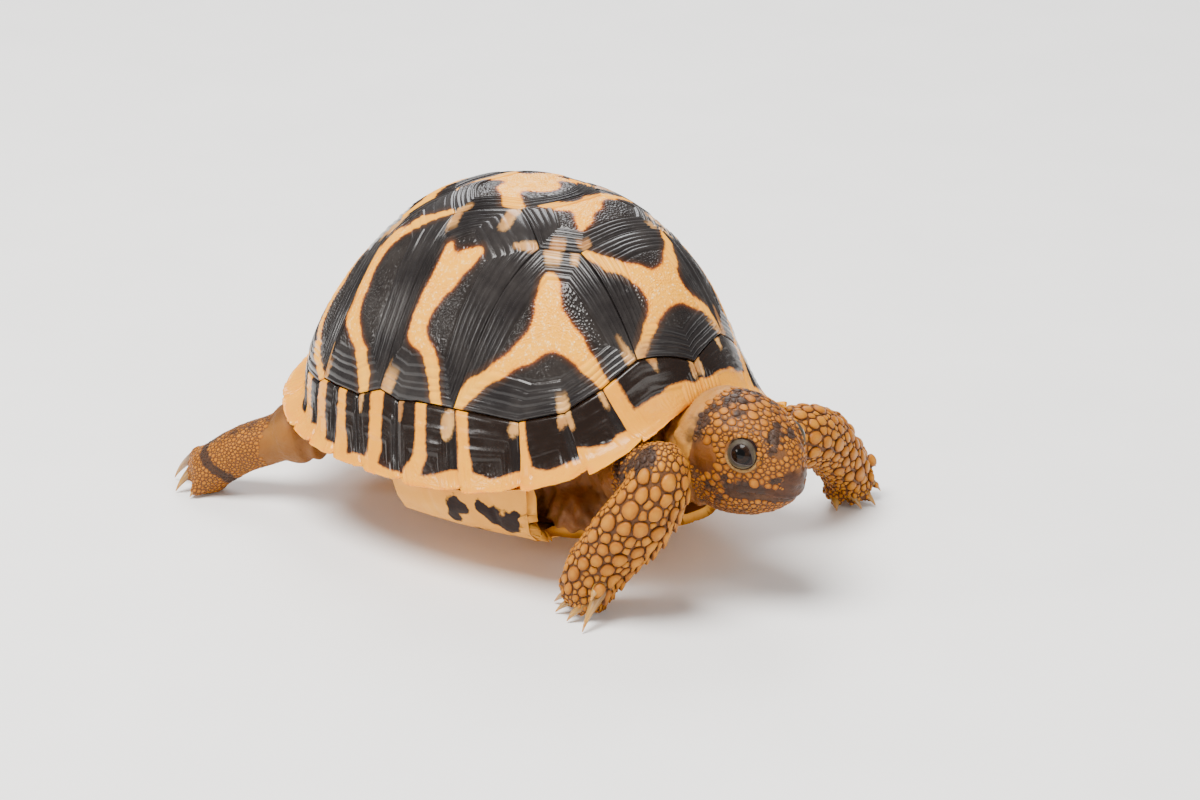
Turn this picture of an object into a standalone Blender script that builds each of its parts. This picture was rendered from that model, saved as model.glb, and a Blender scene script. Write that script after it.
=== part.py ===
"""A juvenile star tortoise in mid-step, as a still, life-size museum model.

Metres. +X runs towards the head, +Y to the animal's left and +Z up. The sculpting below is done
about the middle of the shell, and the last step moves everything so that the origin lies on the
floor under the middle of the whole animal.
"""
import math

import bmesh
import bpy
from mathutils import Vector
from mathutils.bvhtree import BVHTree
from mathutils.geometry import interpolate_bezier

MM = 0.001
GAP = 0.3 * MM                       # clear space between two pieces that touch

# Carapace, about the middle of the shell
SHELL_HALF_LENGTH = 38.0 * MM
SHELL_HALF_WIDTH = 29.5 * MM
WIDER_BEHIND = 0.10                  # the plan is this much wider at the back, narrower in front
PLAN_EXPONENT = 2.4                  # 2 is an ellipse, more is squarer
SHELL_TOP = 50.4 * MM
CROWN_FORWARD = 1.4 * MM             # the highest point lies this far ahead of the middle
RIM_SIDE = 14.0 * MM                 # height of the shell's lower edge above the floor
RIM_FRONT = 27.6 * MM
RIM_REAR = 18.8 * MM
ROUNDING = 0.65                      # how quickly the dome closes in towards its top
ROUNDING_AHEAD = -0.11
RISE_EXPONENT = 2.5                  # how late the wall of the dome starts to climb
FLARE = 3.5 * MM                     # the front corners of the rim turn outwards
FLARE_BEARING = 37.0
FLARE_SPREAD = 17.0
NOTCH = 1.0 * MM                     # the small dip over the neck
NOTCH_SPREAD = 9.0
EDGE_FADE = 0.12                     # flare and notch die away this far up the shell
DRAW_IN = 3.4 * MM                   # over the hind legs the wall is drawn in above the rim
DRAW_BEARING = 145.0
DRAW_SPREAD = 35.0
DRAW_RISE = 0.16

PLATE = 1.2 * MM                     # thickness of a horn plate
BOSS = 0.5 * MM                      # each plate's middle stands proud by this much
SEAM = 0.16 * MM                     # half of the groove between two plates
EDGE_STEP = 0.064                    # length on the map between points of a plate's edge
RIM_WALL = 1.7 * MM                  # thickness of the marginals, and of their rounded lower edge
RIM_LIP = 1.1 * MM

# Corners of the plates on the left half: (bearing from the head in degrees, rise from the rim,
# 0, to the crown, 1). The right half mirrors them.
TOP_SEAM = [(0, 0.357), (32, 0.411), (42, 0.382), (53.5, 0.386), (71, 0.42), (88.5, 0.407),
            (102.5, 0.384), (112, 0.378), (120.5, 0.348), (131, 0.328), (147, 0.34), (165, 0.37),
            (180, 0.38)]             # between marginals, from the front to the tail
RIM_SEAM = [0, 24, 37.5, 51.8, 65.4, 80.7, 92.2, 102.6, 112, 120.5, 136, 161, 180]
V1_C1_RIM = (20, 0.448)              # first vertebral, first costal and the marginals
V1_V2_C1 = (29, 0.773)
V2_C1_C2 = (46.4, 0.796)
V2_V3_C2 = (57, 0.92)
V3_C2_C3 = (101, 0.845)
V3_V4_C3 = (138, 0.888)
V4_C3_C4 = (137, 0.748)
V4_V5_C4 = (160, 0.67)
C2_C3_RIM = (95.2, 0.419)
C3_C4_RIM = (118, 0.372)

VERTEBRALS = [                       # (middle of the plate, its corners on the left half)
    ((0, 0.63), [TOP_SEAM[0], V1_C1_RIM, V1_V2_C1]),
    ((0, 0.907), [V1_V2_C1, V2_C1_C2, V2_V3_C2]),
    ((0, 0.995), [V2_V3_C2, V3_C2_C3, V3_V4_C3]),
    ((180, 0.81), [V3_V4_C3, V4_C3_C4, V4_V5_C4]),
    ((180, 0.535), [V4_V5_C4, TOP_SEAM[10], TOP_SEAM[11], TOP_SEAM[12]]),
]
COSTALS = [
    ((42.7, 0.60), [V1_C1_RIM, *TOP_SEAM[1:5], V2_C1_C2, V1_V2_C1]),
    ((86, 0.658), [TOP_SEAM[4], TOP_SEAM[5], C2_C3_RIM, V3_C2_C3, V2_V3_C2, V2_C1_C2]),
    ((117.8, 0.60), [C2_C3_RIM, *TOP_SEAM[6:8], C3_C4_RIM, V4_C3_C4, V3_V4_C3, V3_C2_C3]),
    ((139, 0.53), [C3_C4_RIM, *TOP_SEAM[8:11], V4_V5_C4, V4_C3_C4]),
]

# Plastron: the flat underside, and the bridge that joins it to the rim on both sides
PLASTRON_HEIGHT = 6.0 * MM
PLASTRON_THICK = 1.4 * MM
BRIDGE_FRONT = 21.0 * MM
BRIDGE_REAR = 3.0 * MM
BRIDGE_IN = 1.1 * MM                 # the bridge meets the rim this far inside its edge
LOBES = [                            # (x, half width, height of the middle) of the free lobes
    (36.3, 4.2, 8.6), (34.0, 8.0, 7.7), (30.0, 12.6, 6.5), (26.8, 14.8, 6.1), (24.0, 16.2, 6.0),
    (-2.0, 17.6, 6.0), (-8.0, 16.4, 6.0), (-14.0, 15.4, 6.0), (-22.0, 14.0, 6.1), (-27.0, 11.5, 6.4), (-31.0, 7.5, 7.1)]
LOBE_SPREAD = (0, 0.35, 0.62, 0.8, 0.9, 0.96, 1.0)
BRIDGE_STATIONS = 6
BRIDGE_NOTCH = (0.965, 0.91, 0.82, 0.74)      # how far out the sheet reaches just before the bridge
BRIDGE_LEAN = 5.0 * MM               # its front edge leans this far forward at the rim
BRIDGE_UNDER = 0.55 * MM             # clear of the rim's lower edge
BRIDGE_CURVE = [(0, 0), (0.4, 0), (0.68, 0), (0.82, 0.1), (0.91, 0.28), (0.965, 0.6), (1, 1)]
LOBE_CURL = 1.2 * MM                 # the free edges of the plastron turn up by this much

# Trunk: the body inside the shell
TRUNK_SIDES = 32
TRUNK_RISES = (0.93, 0.8, 0.65, 0.5, 0.36, 0.24)
TRUNK_DEPTH = 3.1 * MM               # under the outside of the shell
TRUNK_INSET = 5.2 * MM               # inside the rim, and above it, where the skin turns in
TRUNK_ABOVE_RIM = 1.1 * MM
TRUNK_SIDE_IN = 0.32                 # its side, as shares of the way in and down to the belly
TRUNK_SIDE_DOWN = 0.5
BELLY_HALF_LENGTH = 30.5 * MM
BELLY_HALF_WIDTH = 17.0 * MM
BELLY_WIDER_AHEAD = 1.5 * MM
BELLY_HEIGHT = 9.1 * MM
BELLY_LIFT_AHEAD = 2.5 * MM

# Neck and head: (x, middle height, half width, half height)
NECK = [(28.5, 18.4, 7.0, 7.2), (33.0, 19.0, 7.2, 7.8), (37.0, 19.6, 7.6, 7.8), (40.2, 20.6, 7.3, 7.6)]
HEAD = [                             # (x, top, bottom, half width, fullness)
    (40.6, 29.0, 13.0, 7.0, 2.2), (42.6, 30.2, 12.4, 7.3, 2.2), (45.4, 30.2, 12.6, 7.3, 2.3),
    (48.2, 29.3, 13.2, 6.8, 2.4), (50.6, 28.0, 14.0, 5.9, 2.5), (52.8, 26.6, 15.2, 4.6, 2.4),
    (54.5, 25.1, 16.5, 3.3, 2.2), (55.6, 23.7, 18.0, 2.0, 2.0), (56.1, 22.6, 19.6, 1.0, 2.0)]
EYE_CENTRE = (49.6, 3.8, 23.6)
EYE_RADIUS = 2.8 * MM

# Limbs: (x, y, z, half width, half depth), from inside the body to the toes
UPPER_ARM_RIGHT = [(27, -8.6, 15.4, 3.8, 3.8), (32, -9.9, 17.2, 4.1, 4.1), (37.4, -11.5, 19.4, 4.4, 4.2),
                   (42.4, -13.4, 20.8, 4.2, 4.0), (45.2, -14.4, 21.2, 2.6, 2.6)]
FRONT_RIGHT = [(42.6, -13.0, 25.4, 2.2, 2.0), (43.4, -14.0, 23.4, 3.9, 3.7), (44.0, -15.2, 20.4, 4.6, 4.3),
               (43.4, -16.4, 17.6, 5.0, 4.3), (41.2, -17.6, 14.0, 5.2, 4.2), (38.5, -18.6, 10.2, 4.9, 4.0),
               (36.0, -19.3, 6.8, 4.5, 3.8), (35.0, -20.0, 4.0, 4.2, 3.6), (34.6, -20.8, 1.8, 3.6, 3.0)]
FRONT_LEFT = [(27, 10.5, 14.0, 4.4, 4.4), (32.4, 15.5, 14.6, 4.7, 4.5), (34.2, 22.5, 15.0, 4.8, 4.6),
              (33.2, 28.6, 12.6, 4.9, 4.4), (32.2, 33.2, 8.6, 4.6, 3.9), (31.6, 35.8, 5.5, 4.4, 3.6),
              (31.4, 36.7, 3.2, 4.1, 3.3), (31.8, 36.8, 1.4, 3.2, 2.6)]
REAR_RIGHT = [(-20, -15.4, 13.0, 4.3, 4.0), (-25, -20.7, 11.0, 4.3, 4.1), (-29, -23.6, 9.2, 4.2, 4.0),
              (-33, -26.2, 7.2, 4.3, 3.9), (-36.2, -28.2, 4.8, 4.3, 3.8), (-38.4, -29.8, 3.0, 4.0, 3.6),
              (-39.6, -30.8, 2.4, 2.8, 2.6)]
REAR_LEFT = [(-20, 13.0, 13.2, 4.4, 4.2), (-23.6, 17.6, 11.9, 4.4, 4.3), (-25.4, 21.0, 9.2, 4.5, 4.4),
             (-24.8, 23.8, 5.6, 4.6, 4.5), (-24.0, 24.6, 3.0, 4.6, 4.5), (-23.6, 24.8, 0.8, 3.4, 3.4)]
TAIL = [(-29, 1.0, 14, 3.6, 3.2), (-33, 2.0, 12.5, 2.8, 2.4), (-36.0, 3.6, 10.2, 2.0, 1.7),
        (-37.4, 5.4, 8.4, 1.0, 0.9)]

# Claws of each foot, from its inner to its outer toe: (a spot inside the toe, the claw's tip)
CLAWS = {
    "front_right": [((38.2, -18.4, 7.2), (39.6, -23.6, 4.4)), ((38.6, -19.4, 5.8), (39.8, -25.4, 0.3)),
                    ((37.4, -20.2, 3.4), (35.6, -24.4, 0.3)), ((34.8, -20.4, 2.6), (32.2, -23.4, 0.3)),
                    ((32.8, -20.0, 2.6), (29.4, -21.0, 0.3))],
    "front_left": [((30.6, 37.0, 8.2), (32.2, 41.8, 4.6)), ((30.8, 36.6, 6.6), (34.0, 41.0, 1.4)),
                   ((31.2, 36.2, 4.6), (35.6, 38.2, 0.3)), ((31.4, 35.2, 3.2), (35.2, 35.6, 0.3)),
                   ((30.2, 34.4, 2.8), (33.2, 32.4, 0.3))],
    "rear_right": [((-39.8, -29.4, 5.6), (-44.8, -30.6, 0.4)), ((-38.8, -30.4, 4.2), (-40.4, -33.8, 0.3)),
                   ((-36.4, -30.4, 3.0), (-37.0, -33.8, 0.3)), ((-39.8, -28.8, 3.4), (-43.6, -27.8, 0.3))],
    "rear_left": [((-22.4, 23.2, 2.2), (-15.4, 21.8, 0.3)), ((-22.4, 24.4, 2.4), (-15.2, 24.8, 0.3)),
                  ((-23.0, 25.4, 2.4), (-16.6, 27.8, 0.3)), ((-23.8, 26.2, 2.2), (-19.4, 30.0, 0.3))],
}
CLAW_RADIUS = 0.75 * MM
CLAW_ARCH = 0.5 * MM                 # how far the middle of a claw bows up
CLAW_SIDES = 6
CLAW_TAPER = (0, 0.15, 0.42, 0.8)
CLAW_REACH = 1.5 * MM                # how far the root is followed along an uneven foot
CLAW_GAP = 0.45 * MM

SIDES = 14                           # corners round a limb
SOLE_PRESS = 1.1 * MM                # the lowest part of a foot is pressed flat on the floor
PARTS = "star_tortoise"


# Materials

def material(name, colour, roughness):
    made = bpy.data.materials.new(name)
    made.use_nodes = True
    shader = made.node_tree.nodes["Principled BSDF"]
    shader.inputs["Base Color"].default_value = (*colour, 1.0)
    shader.inputs["Roughness"].default_value = roughness
    shader.inputs["Metallic"].default_value = 0.0
    made.diffuse_color = (*colour, 1.0)
    return made


# Shell surface

def fade(value, width):
    return math.exp(-(value / width) ** 2)


def shell_point(bearing, rise, flared=True):
    """The point on the outside of the shell at a bearing (radians) and a rise."""
    along, across = math.cos(bearing), math.sin(bearing)
    plan = (abs(along) ** PLAN_EXPONENT + abs(across) ** PLAN_EXPONENT) ** (-1 / PLAN_EXPONENT)
    lift = rise * math.pi / 2
    inward = max(math.cos(lift), 0.0) ** (ROUNDING + ROUNDING_AHEAD * along)
    rim = RIM_SIDE + (RIM_FRONT - RIM_SIDE) * max(along, 0.0) ** 3
    rim += (RIM_REAR - RIM_SIDE) * max(-along, 0.0) ** 3
    turned = math.degrees(math.atan2(abs(across), along))
    edge = -DRAW_IN * fade(turned - DRAW_BEARING, DRAW_SPREAD) * fade(rise - DRAW_RISE, DRAW_RISE)
    if flared:
        edge += math.exp(-rise / EDGE_FADE) * (
            FLARE * fade(turned - FLARE_BEARING, FLARE_SPREAD) - NOTCH * fade(turned, NOTCH_SPREAD))
    width = SHELL_HALF_WIDTH * (1 - WIDER_BEHIND * along)
    return Vector((
        (SHELL_HALF_LENGTH * plan * inward + edge) * along + CROWN_FORWARD * math.sin(lift),
        (width * plan * inward + edge) * across,
        rim + (SHELL_TOP - rim) * math.sin(lift) ** RISE_EXPONENT))


def to_map(corner):
    """A corner on the flat map of the shell: the crown is its middle and the rim its circle."""
    bearing, rise = math.radians(corner[0]), corner[1]
    return Vector(((1 - rise) * math.cos(bearing), (1 - rise) * math.sin(bearing)))


def on_shell(spot, depth=0.0, flared=True):
    """The point of the shell over a spot of the map, taken inwards by a depth."""
    point = shell_point(math.atan2(spot.y, spot.x), 1 - min(spot.length, 1.0), flared)
    return point - shell_normal(spot) * depth if depth else point


def shell_normal(spot):
    """The way out of the shell over a spot of the map, from its shape without the flare."""
    step = 0.004
    inner = spot * min(1.0, (1 - 2 * step) / max(spot.length, 1e-9))
    run = [shell_point(math.atan2(p.y, p.x), 1 - p.length, False) for p in (
        inner + Vector((step, 0)), inner - Vector((step, 0)),
        inner + Vector((0, step)), inner - Vector((0, step)))]
    return (run[0] - run[1]).cross(run[2] - run[3]).normalized()


def rim_way_out(bearing):
    """The level direction away from the shell at its rim."""
    step = 0.01
    along = shell_point(bearing + step, 0.0, False) - shell_point(bearing - step, 0.0, False)
    return Vector((along.y, -along.x, 0)).normalized()


def mirrored(corners):
    return [(-bearing, rise) for bearing, rise in reversed(corners) if bearing not in (0, 180)]


# Meshes

def add_object(name, mesh, colour, roughness=0.5, smooth=True):
    item = bpy.data.objects.new(name, mesh)
    bpy.data.collections[PARTS].objects.link(item)
    mesh.materials.append(material(name, colour, roughness))
    if smooth:
        mesh.shade_smooth()
        mesh.set_sharp_from_angle(angle=math.radians(40))
    return item


def skin_rings(name, rings, first_cap=True, last_cap=True):
    """A closed mesh lofted through rings of points, each with the same number of points."""
    shape = bmesh.new()
    loops = [[shape.verts.new(point) for point in ring] for ring in rings]
    for ring, following in zip(loops, loops[1:]):
        for k in range(len(ring)):
            after = (k + 1) % len(ring)
            shape.faces.new((ring[k], ring[after], following[after], following[k]))
    for wanted, ring in ((first_cap, loops[0]), (last_cap, loops[-1])):
        if wanted:
            shape.faces.new(ring)
    bmesh.ops.recalc_face_normals(shape, faces=shape.faces)
    bmesh.ops.triangulate(shape, faces=[face for face in shape.faces if len(face.verts) > 4])
    mesh = bpy.data.meshes.new(name)
    shape.to_mesh(mesh)
    shape.free()
    return mesh


def skin_grid(name, rows):
    """An open sheet through rows of points."""
    shape = bmesh.new()
    lines = [[shape.verts.new(point) for point in row] for row in rows]
    for line, following in zip(lines, lines[1:]):
        for k in range(len(line) - 1):
            shape.faces.new((line[k], line[k + 1], following[k + 1], following[k]))
    mesh = bpy.data.meshes.new(name)
    shape.to_mesh(mesh)
    shape.free()
    return mesh


def thicken(item, thickness):
    wall = item.modifiers.new("wall", "SOLIDIFY")
    wall.thickness = thickness
    wall.offset = -1.0
    return item


def helper(name, mesh):
    """A cutting body, which is not a part of the animal."""
    item = bpy.data.objects.new(name, mesh)
    bpy.data.collections["cutters"].objects.link(item)
    item.hide_render = True
    item.display_type = "WIRE"
    return item


def cut(item, other, operation="DIFFERENCE"):
    step = item.modifiers.new(other.name, "BOOLEAN")
    step.operation = operation
    step.object = other


# Carapace

def plate_outline(corners):
    """The plate's edge on the map, with more points on its longer sides."""
    spots = [to_map(corner) for corner in corners]
    edge = []
    for spot, following in zip(spots, spots[1:] + spots[:1]):
        steps = max(1, round((following - spot).length / EDGE_STEP))
        edge += [spot.lerp(following, k / steps) for k in range(steps)]
    return edge


def add_plate(name, middle, corners, colour):
    """One horn plate: rings from its middle out to its seams, raised in the middle."""
    centre = to_map(middle)
    edge = plate_outline(corners)
    shape = bmesh.new()
    top = shape.verts.new(on_shell(centre, -BOSS))
    previous = None
    for share in (0.4, 0.72, 1.0):
        ring = []
        for spot in edge:
            reach = (on_shell(spot) - on_shell(centre)).length
            part = share * (1 - SEAM / reach)
            lift = BOSS * (1 - part ** 2) ** 2
            ring.append(shape.verts.new(on_shell(centre.lerp(spot, part), -lift)))
        for k in range(len(ring)):
            after = (k + 1) % len(ring)
            if previous:
                shape.faces.new((previous[k], ring[k], ring[after], previous[after]))
            else:
                shape.faces.new((top, ring[k], ring[after]))
        previous = ring
    mesh = bpy.data.meshes.new(name)
    shape.to_mesh(mesh)
    shape.free()
    return thicken(add_object(name, mesh, colour, 0.35), PLATE)


def rim_bearing(bearing):
    """Where the seam that leaves the top of the marginals at a bearing meets the rim."""
    places = [corner[0] for corner in TOP_SEAM]
    for k in range(len(places) - 1):
        if bearing <= places[k + 1]:
            share = (bearing - places[k]) / (places[k + 1] - places[k])
            return RIM_SEAM[k] + share * (RIM_SEAM[k + 1] - RIM_SEAM[k])
    return RIM_SEAM[-1]


def rim_section(top, foot):
    """The closed outline of a marginal between a spot on its top seam and one on the rim."""
    out = rim_way_out(math.atan2(foot.y, foot.x))
    start = SEAM / (on_shell(foot) - on_shell(top)).length
    outer = [on_shell(top.lerp(foot, share)) for share in (start, 0.4, 0.8, 1.0)]
    lip = outer[3] - (out + Vector((0, 0, 0.1))) * RIM_LIP
    return outer + [lip, outer[2] - out * RIM_WALL, outer[1] - out * RIM_WALL,
                    on_shell(top.lerp(foot, start), PLATE)]


def open_ends(rings):
    """Draws the end rings in, for the seams to the neighbours."""
    for ring, towards in ((rings[0], rings[1]), (rings[-1], rings[-2])):
        for k, point in enumerate(ring):
            ring[k] = point + (towards[k] - point).normalized() * SEAM
    return rings


def add_rim(name, corners, side, colour):
    """The band of marginal plates on one side, between two corners of the top seam."""
    sections = []
    for corner, following in zip(corners, corners[1:]):
        steps = 2 if abs(following[0] - corner[0]) > 8 else 1
        for k in range(steps + (following is corners[-1])):
            share = k / steps
            bearing = corner[0] + share * (following[0] - corner[0])
            top = to_map(corner).lerp(to_map(following), share)
            foot = to_map((rim_bearing(bearing), 0.0))
            sections.append((Vector((top.x, side * top.y)), Vector((foot.x, side * foot.y))))
    rings = open_ends([rim_section(*section) for section in sections])
    return add_object(name, skin_rings(name, rings), colour, 0.35)


def add_supracaudal(colour):
    corners = [TOP_SEAM[11], TOP_SEAM[12]]
    half = []
    for k in range(3):
        share = k / 3
        top = to_map(corners[0]).lerp(to_map(corners[1]), share)
        foot = to_map((RIM_SEAM[11] + share * (RIM_SEAM[12] - RIM_SEAM[11]), 0.0))
        half.append((top, foot))
    middle = [(to_map(corners[1]), to_map((RIM_SEAM[12], 0.0)))]
    other = [(Vector((t.x, -t.y)), Vector((f.x, -f.y))) for t, f in reversed(half)]
    rings = open_ends([rim_section(*section) for section in half + middle + other])
    return add_object("supracaudal", skin_rings("supracaudal", rings), colour, 0.35)


def add_carapace(colour, rim_colour):
    for k, (middle, corners) in enumerate(VERTEBRALS):
        add_plate(f"vertebral_{k + 1}", middle, corners + mirrored(corners), colour)
    for k, (middle, corners) in enumerate(COSTALS):
        add_plate(f"costal_left_{k + 1}", middle, corners, colour)
        add_plate(f"costal_right_{k + 1}", (-middle[0], middle[1]),
                  [(-bearing, rise) for bearing, rise in reversed(corners)], colour)
    seam = sorted(TOP_SEAM[:12] + [V1_C1_RIM, C2_C3_RIM, C3_C4_RIM])
    add_rim("marginals_left", seam, 1, rim_colour)
    add_rim("marginals_right", seam, -1, rim_colour)
    add_supracaudal(rim_colour)


# Plastron

def rim_at(x):
    """The rim's left point at a distance x along the shell."""
    low, high = 0.0, math.pi
    for _ in range(40):
        middle = (low + high) / 2
        if shell_point(middle, 0.0).x > x:
            low = middle
        else:
            high = middle
    return shell_point(low, 0.0)


def curve_rise(out):
    """How far up the bridge is, as a share, at a share of the way out to the rim."""
    for (before, low), (after, high) in zip(BRIDGE_CURVE, BRIDGE_CURVE[1:]):
        if out <= after:
            return low + (high - low) * (out - before) / (after - before)
    return 1.0


def add_plastron(colour):
    rows = []
    for x, half_width, height in LOBES:
        rows.append((x * MM, [(half_width * MM * share, height * MM + LOBE_CURL * share ** 5, 0.0)
                              for share in LOBE_SPREAD]))
    for k in range(BRIDGE_STATIONS):
        x = BRIDGE_FRONT + k / (BRIDGE_STATIONS - 1) * (BRIDGE_REAR - BRIDGE_FRONT)
        lean = BRIDGE_LEAN * (1 - k / (BRIDGE_STATIONS - 1)) ** 2
        rim = rim_at(x + lean)
        top, wide = rim.z - BRIDGE_UNDER, rim.y - BRIDGE_IN
        rows.append((x, [(wide * out, PLASTRON_HEIGHT + (top - PLASTRON_HEIGHT) * up, lean * up ** 0.4)
                         for out, up in BRIDGE_CURVE]))
        if k == 0:                      # its front edge drops from the rim before it runs forward
            for step, part in enumerate(BRIDGE_NOTCH, 1):
                reach = [out * part for out, _ in BRIDGE_CURVE]
                rises = [curve_rise(out) for out in reach]
                rows.append((x + step * 0.2 * MM, [
                    (wide * out, PLASTRON_HEIGHT + (top - PLASTRON_HEIGHT) * up, lean * up ** 0.4)
                    for out, up in zip(reach, rises)]))
    rows.sort(key=lambda row: -row[0])
    sheet = []
    for x, half in rows:
        left = [Vector((x + lean, y, z)) for y, z, lean in half]
        sheet.append([Vector((way, -y, z)) for way, y, z in reversed(left)][:-1] + left)
    item = add_object("plastron", skin_grid("plastron", sheet), colour, 0.4)
    item.data.flip_normals()
    return thicken(item, PLASTRON_THICK)


# Flesh

def smooth_path(stations, steps):
    """Stations with more between them, on a smooth curve through all their values."""
    rows = [Vector(station) for station in stations]
    rows = [2 * rows[0] - rows[1]] + rows + [2 * rows[-1] - rows[-2]]
    path = []
    for before, start, end, after in zip(rows, rows[1:], rows[2:], rows[3:]):
        for k in range(steps):
            t = k / steps
            path.append(0.5 * (2 * start + (end - before) * t
                               + (2 * before - 5 * start + 4 * end - after) * t * t
                               + (3 * start - before - 3 * end + after) * t ** 3))
    return path + [rows[-2]]


def limb_rings(stations, flat_towards, steps=2):
    """Oval rings along a limb. Its flat side faces flat_towards, and its sole is level."""
    path = smooth_path([[value * MM for value in station] for station in stations], steps)
    rings = []
    for k, station in enumerate(path):
        before, after = path[max(k - 1, 0)], path[min(k + 1, len(path) - 1)]
        along = Vector(after[:3]) - Vector(before[:3])
        along.normalize()
        depth = Vector(flat_towards) - along * along.dot(Vector(flat_towards))
        depth.normalize()
        width = along.cross(depth)
        ring = []
        for corner in range(SIDES):
            turn = corner / SIDES * 2 * math.pi
            point = (Vector(station[:3]) + width * math.cos(turn) * station[3]
                     + depth * math.sin(turn) * station[4])
            if point.z < SOLE_PRESS:
                point.z = 0.0
            ring.append(point)
        rings.append(ring)
    return rings


def add_limb(name, stations, flat_towards, clear_of, colour, upper_arm=None):
    item = add_object(name, skin_rings(name, limb_rings(stations, flat_towards)), colour, 0.6)
    if upper_arm:
        mesh = skin_rings("upper_arm", limb_rings(upper_arm, (0, 0, 1)))
        cut(item, helper("upper_arm", mesh), "UNION")
    for neighbour in clear_of:
        cut(item, neighbour)
    return item


def oval(x, middle, half_width, half_height, fullness, count=20):
    """A rounded ring in the plane across the body at x."""
    ring = []
    for k in range(count):
        turn = k / count * 2 * math.pi
        across, up = math.cos(turn), math.sin(turn)
        scale = (abs(across) ** fullness + abs(up) ** fullness) ** (-1 / fullness)
        ring.append(Vector((x, half_width * across * scale, middle + half_height * up * scale)))
    return ring


def neck_rings(margin):
    path = smooth_path([[value * MM for value in row] for row in NECK], 2)
    return [oval(x, z, half_width + margin, half_height + margin, 2.0)
            for x, z, half_width, half_height in path]


def add_neck(trunk_clear, colour):
    cut(add_object("neck", skin_rings("neck", neck_rings(0.0)), colour, 0.6), trunk_clear)
    return helper("neck_clear", skin_rings("neck_clear", neck_rings(GAP)))


def add_head(colour):
    path = smooth_path([[v * MM for v in row[:4]] + [row[4]] for row in HEAD], 2)
    rings = [oval(x, (top + bottom) / 2, half_width, (top - bottom) / 2, fullness)
             for x, top, bottom, half_width, fullness in path]
    item = add_object("head", skin_rings("head", rings), colour, 0.6)
    for side, word in ((1, "left"), (-1, "right")):
        socket = helper(f"socket_{word}", ball(f"socket_{word}", EYE_RADIUS + GAP))
        socket.location = eye_place(side)
        cut(item, socket)
    return item


def eye_place(side):
    x, y, z = EYE_CENTRE
    return Vector((x, side * y, z)) * MM


def ball(name, radius):
    shape = bmesh.new()
    bmesh.ops.create_uvsphere(shape, u_segments=12, v_segments=8, radius=radius)
    mesh = bpy.data.meshes.new(name)
    shape.to_mesh(mesh)
    shape.free()
    return mesh


def add_eyes(colour):
    for side, word in ((1, "left"), (-1, "right")):
        name = f"eye_{word}"
        add_object(name, ball(name, EYE_RADIUS), colour, 0.08).location = eye_place(side)


def trunk_rings(margin):
    """The body inside the shell, from its crown down. A margin makes it bigger all round."""
    rings = []
    bearings = [k / TRUNK_SIDES * 2 * math.pi for k in range(TRUNK_SIDES)]
    for rise in TRUNK_RISES:
        spots = [Vector((math.cos(t), math.sin(t))) * (1 - rise) for t in bearings]
        rings.append([on_shell(spot, TRUNK_DEPTH - margin, False) for spot in spots])
    lows = []
    for bearing in bearings:
        along, across = math.cos(bearing), math.sin(bearing)
        plan = (abs(along) ** PLAN_EXPONENT + abs(across) ** PLAN_EXPONENT) ** (-1 / PLAN_EXPONENT)
        rim = shell_point(bearing, 0.0, False)
        high = rim - rim_way_out(bearing) * (TRUNK_INSET - margin) + Vector((0, 0, TRUNK_ABOVE_RIM))
        low = Vector(((BELLY_HALF_LENGTH + margin) * plan * along,
                      (BELLY_HALF_WIDTH + BELLY_WIDER_AHEAD * along + margin) * plan * across,
                      BELLY_HEIGHT + BELLY_LIFT_AHEAD * max(along, 0.0) ** 6 - margin))
        lows.append((high, low))
    rings.append([high for high, _ in lows])
    rings.append([Vector((*high.lerp(low, TRUNK_SIDE_IN).xy, high.lerp(low, TRUNK_SIDE_DOWN).z))
                  for high, low in lows])
    rings.append([low for _, low in lows])
    return rings


def add_trunk(colour):
    add_object("trunk", skin_rings("trunk", trunk_rings(0.0)), colour, 0.6)
    return helper("trunk_clear", skin_rings("trunk_clear", trunk_rings(GAP)))


# Claws

def surface_of(item):
    """The finished surface of an object, for finding where a ray meets it."""
    shown = item.evaluated_get(bpy.context.evaluated_depsgraph_get())
    mesh = shown.to_mesh()
    tree = BVHTree.FromPolygons([v.co.copy() for v in mesh.vertices],
                                [tuple(p.vertices) for p in mesh.polygons])
    shown.to_mesh_clear()
    return tree


def claw_ring(point, side, along, radius):
    up = side.cross(along).normalized()
    ring = []
    for corner in range(CLAW_SIDES):
        turn = corner / CLAW_SIDES * 2 * math.pi
        spot = point + (side * math.cos(turn) + up * math.sin(turn)) * radius
        spot.z = max(spot.z, 0.0)
        ring.append(spot)
    return ring


def add_claw(name, foot, toe, tip, colour):
    """A curved claw from its tip back to the foot's surface, on the line to the toe's inside."""
    toe, tip = Vector(toe) * MM, Vector(tip) * MM
    towards = (tip - toe).normalized()
    base = foot.ray_cast(tip, -towards)[0] + towards * CLAW_GAP
    arch = Vector((0, 0, CLAW_ARCH))
    path = interpolate_bezier(base, base.lerp(tip, 0.4) + arch, base.lerp(tip, 0.8) + arch, tip, 4)
    side = towards.cross(arch).normalized()
    rings = []
    for k, point in enumerate(path[1:], 1):
        along = (path[min(k + 1, 3)] - path[k - 1]).normalized()
        rings.append(claw_ring(point, side, along, CLAW_RADIUS * (1 - CLAW_TAPER[k])))
    root = []
    for spot in claw_ring(base, side, towards, CLAW_RADIUS):
        hit = foot.ray_cast(spot + towards * CLAW_REACH, -towards, 2 * CLAW_REACH)[0]
        root.append(hit + towards * CLAW_GAP if hit else spot)
    return add_object(name, skin_rings(name, [root] + rings), colour, 0.3)


def add_claws(limbs, colour):
    for foot, claws in CLAWS.items():
        surface = surface_of(limbs[foot])
        for k, (toe, tip) in enumerate(claws):
            add_claw(f"claw_{foot}_{k + 1}", surface, toe, tip, colour)


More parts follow.
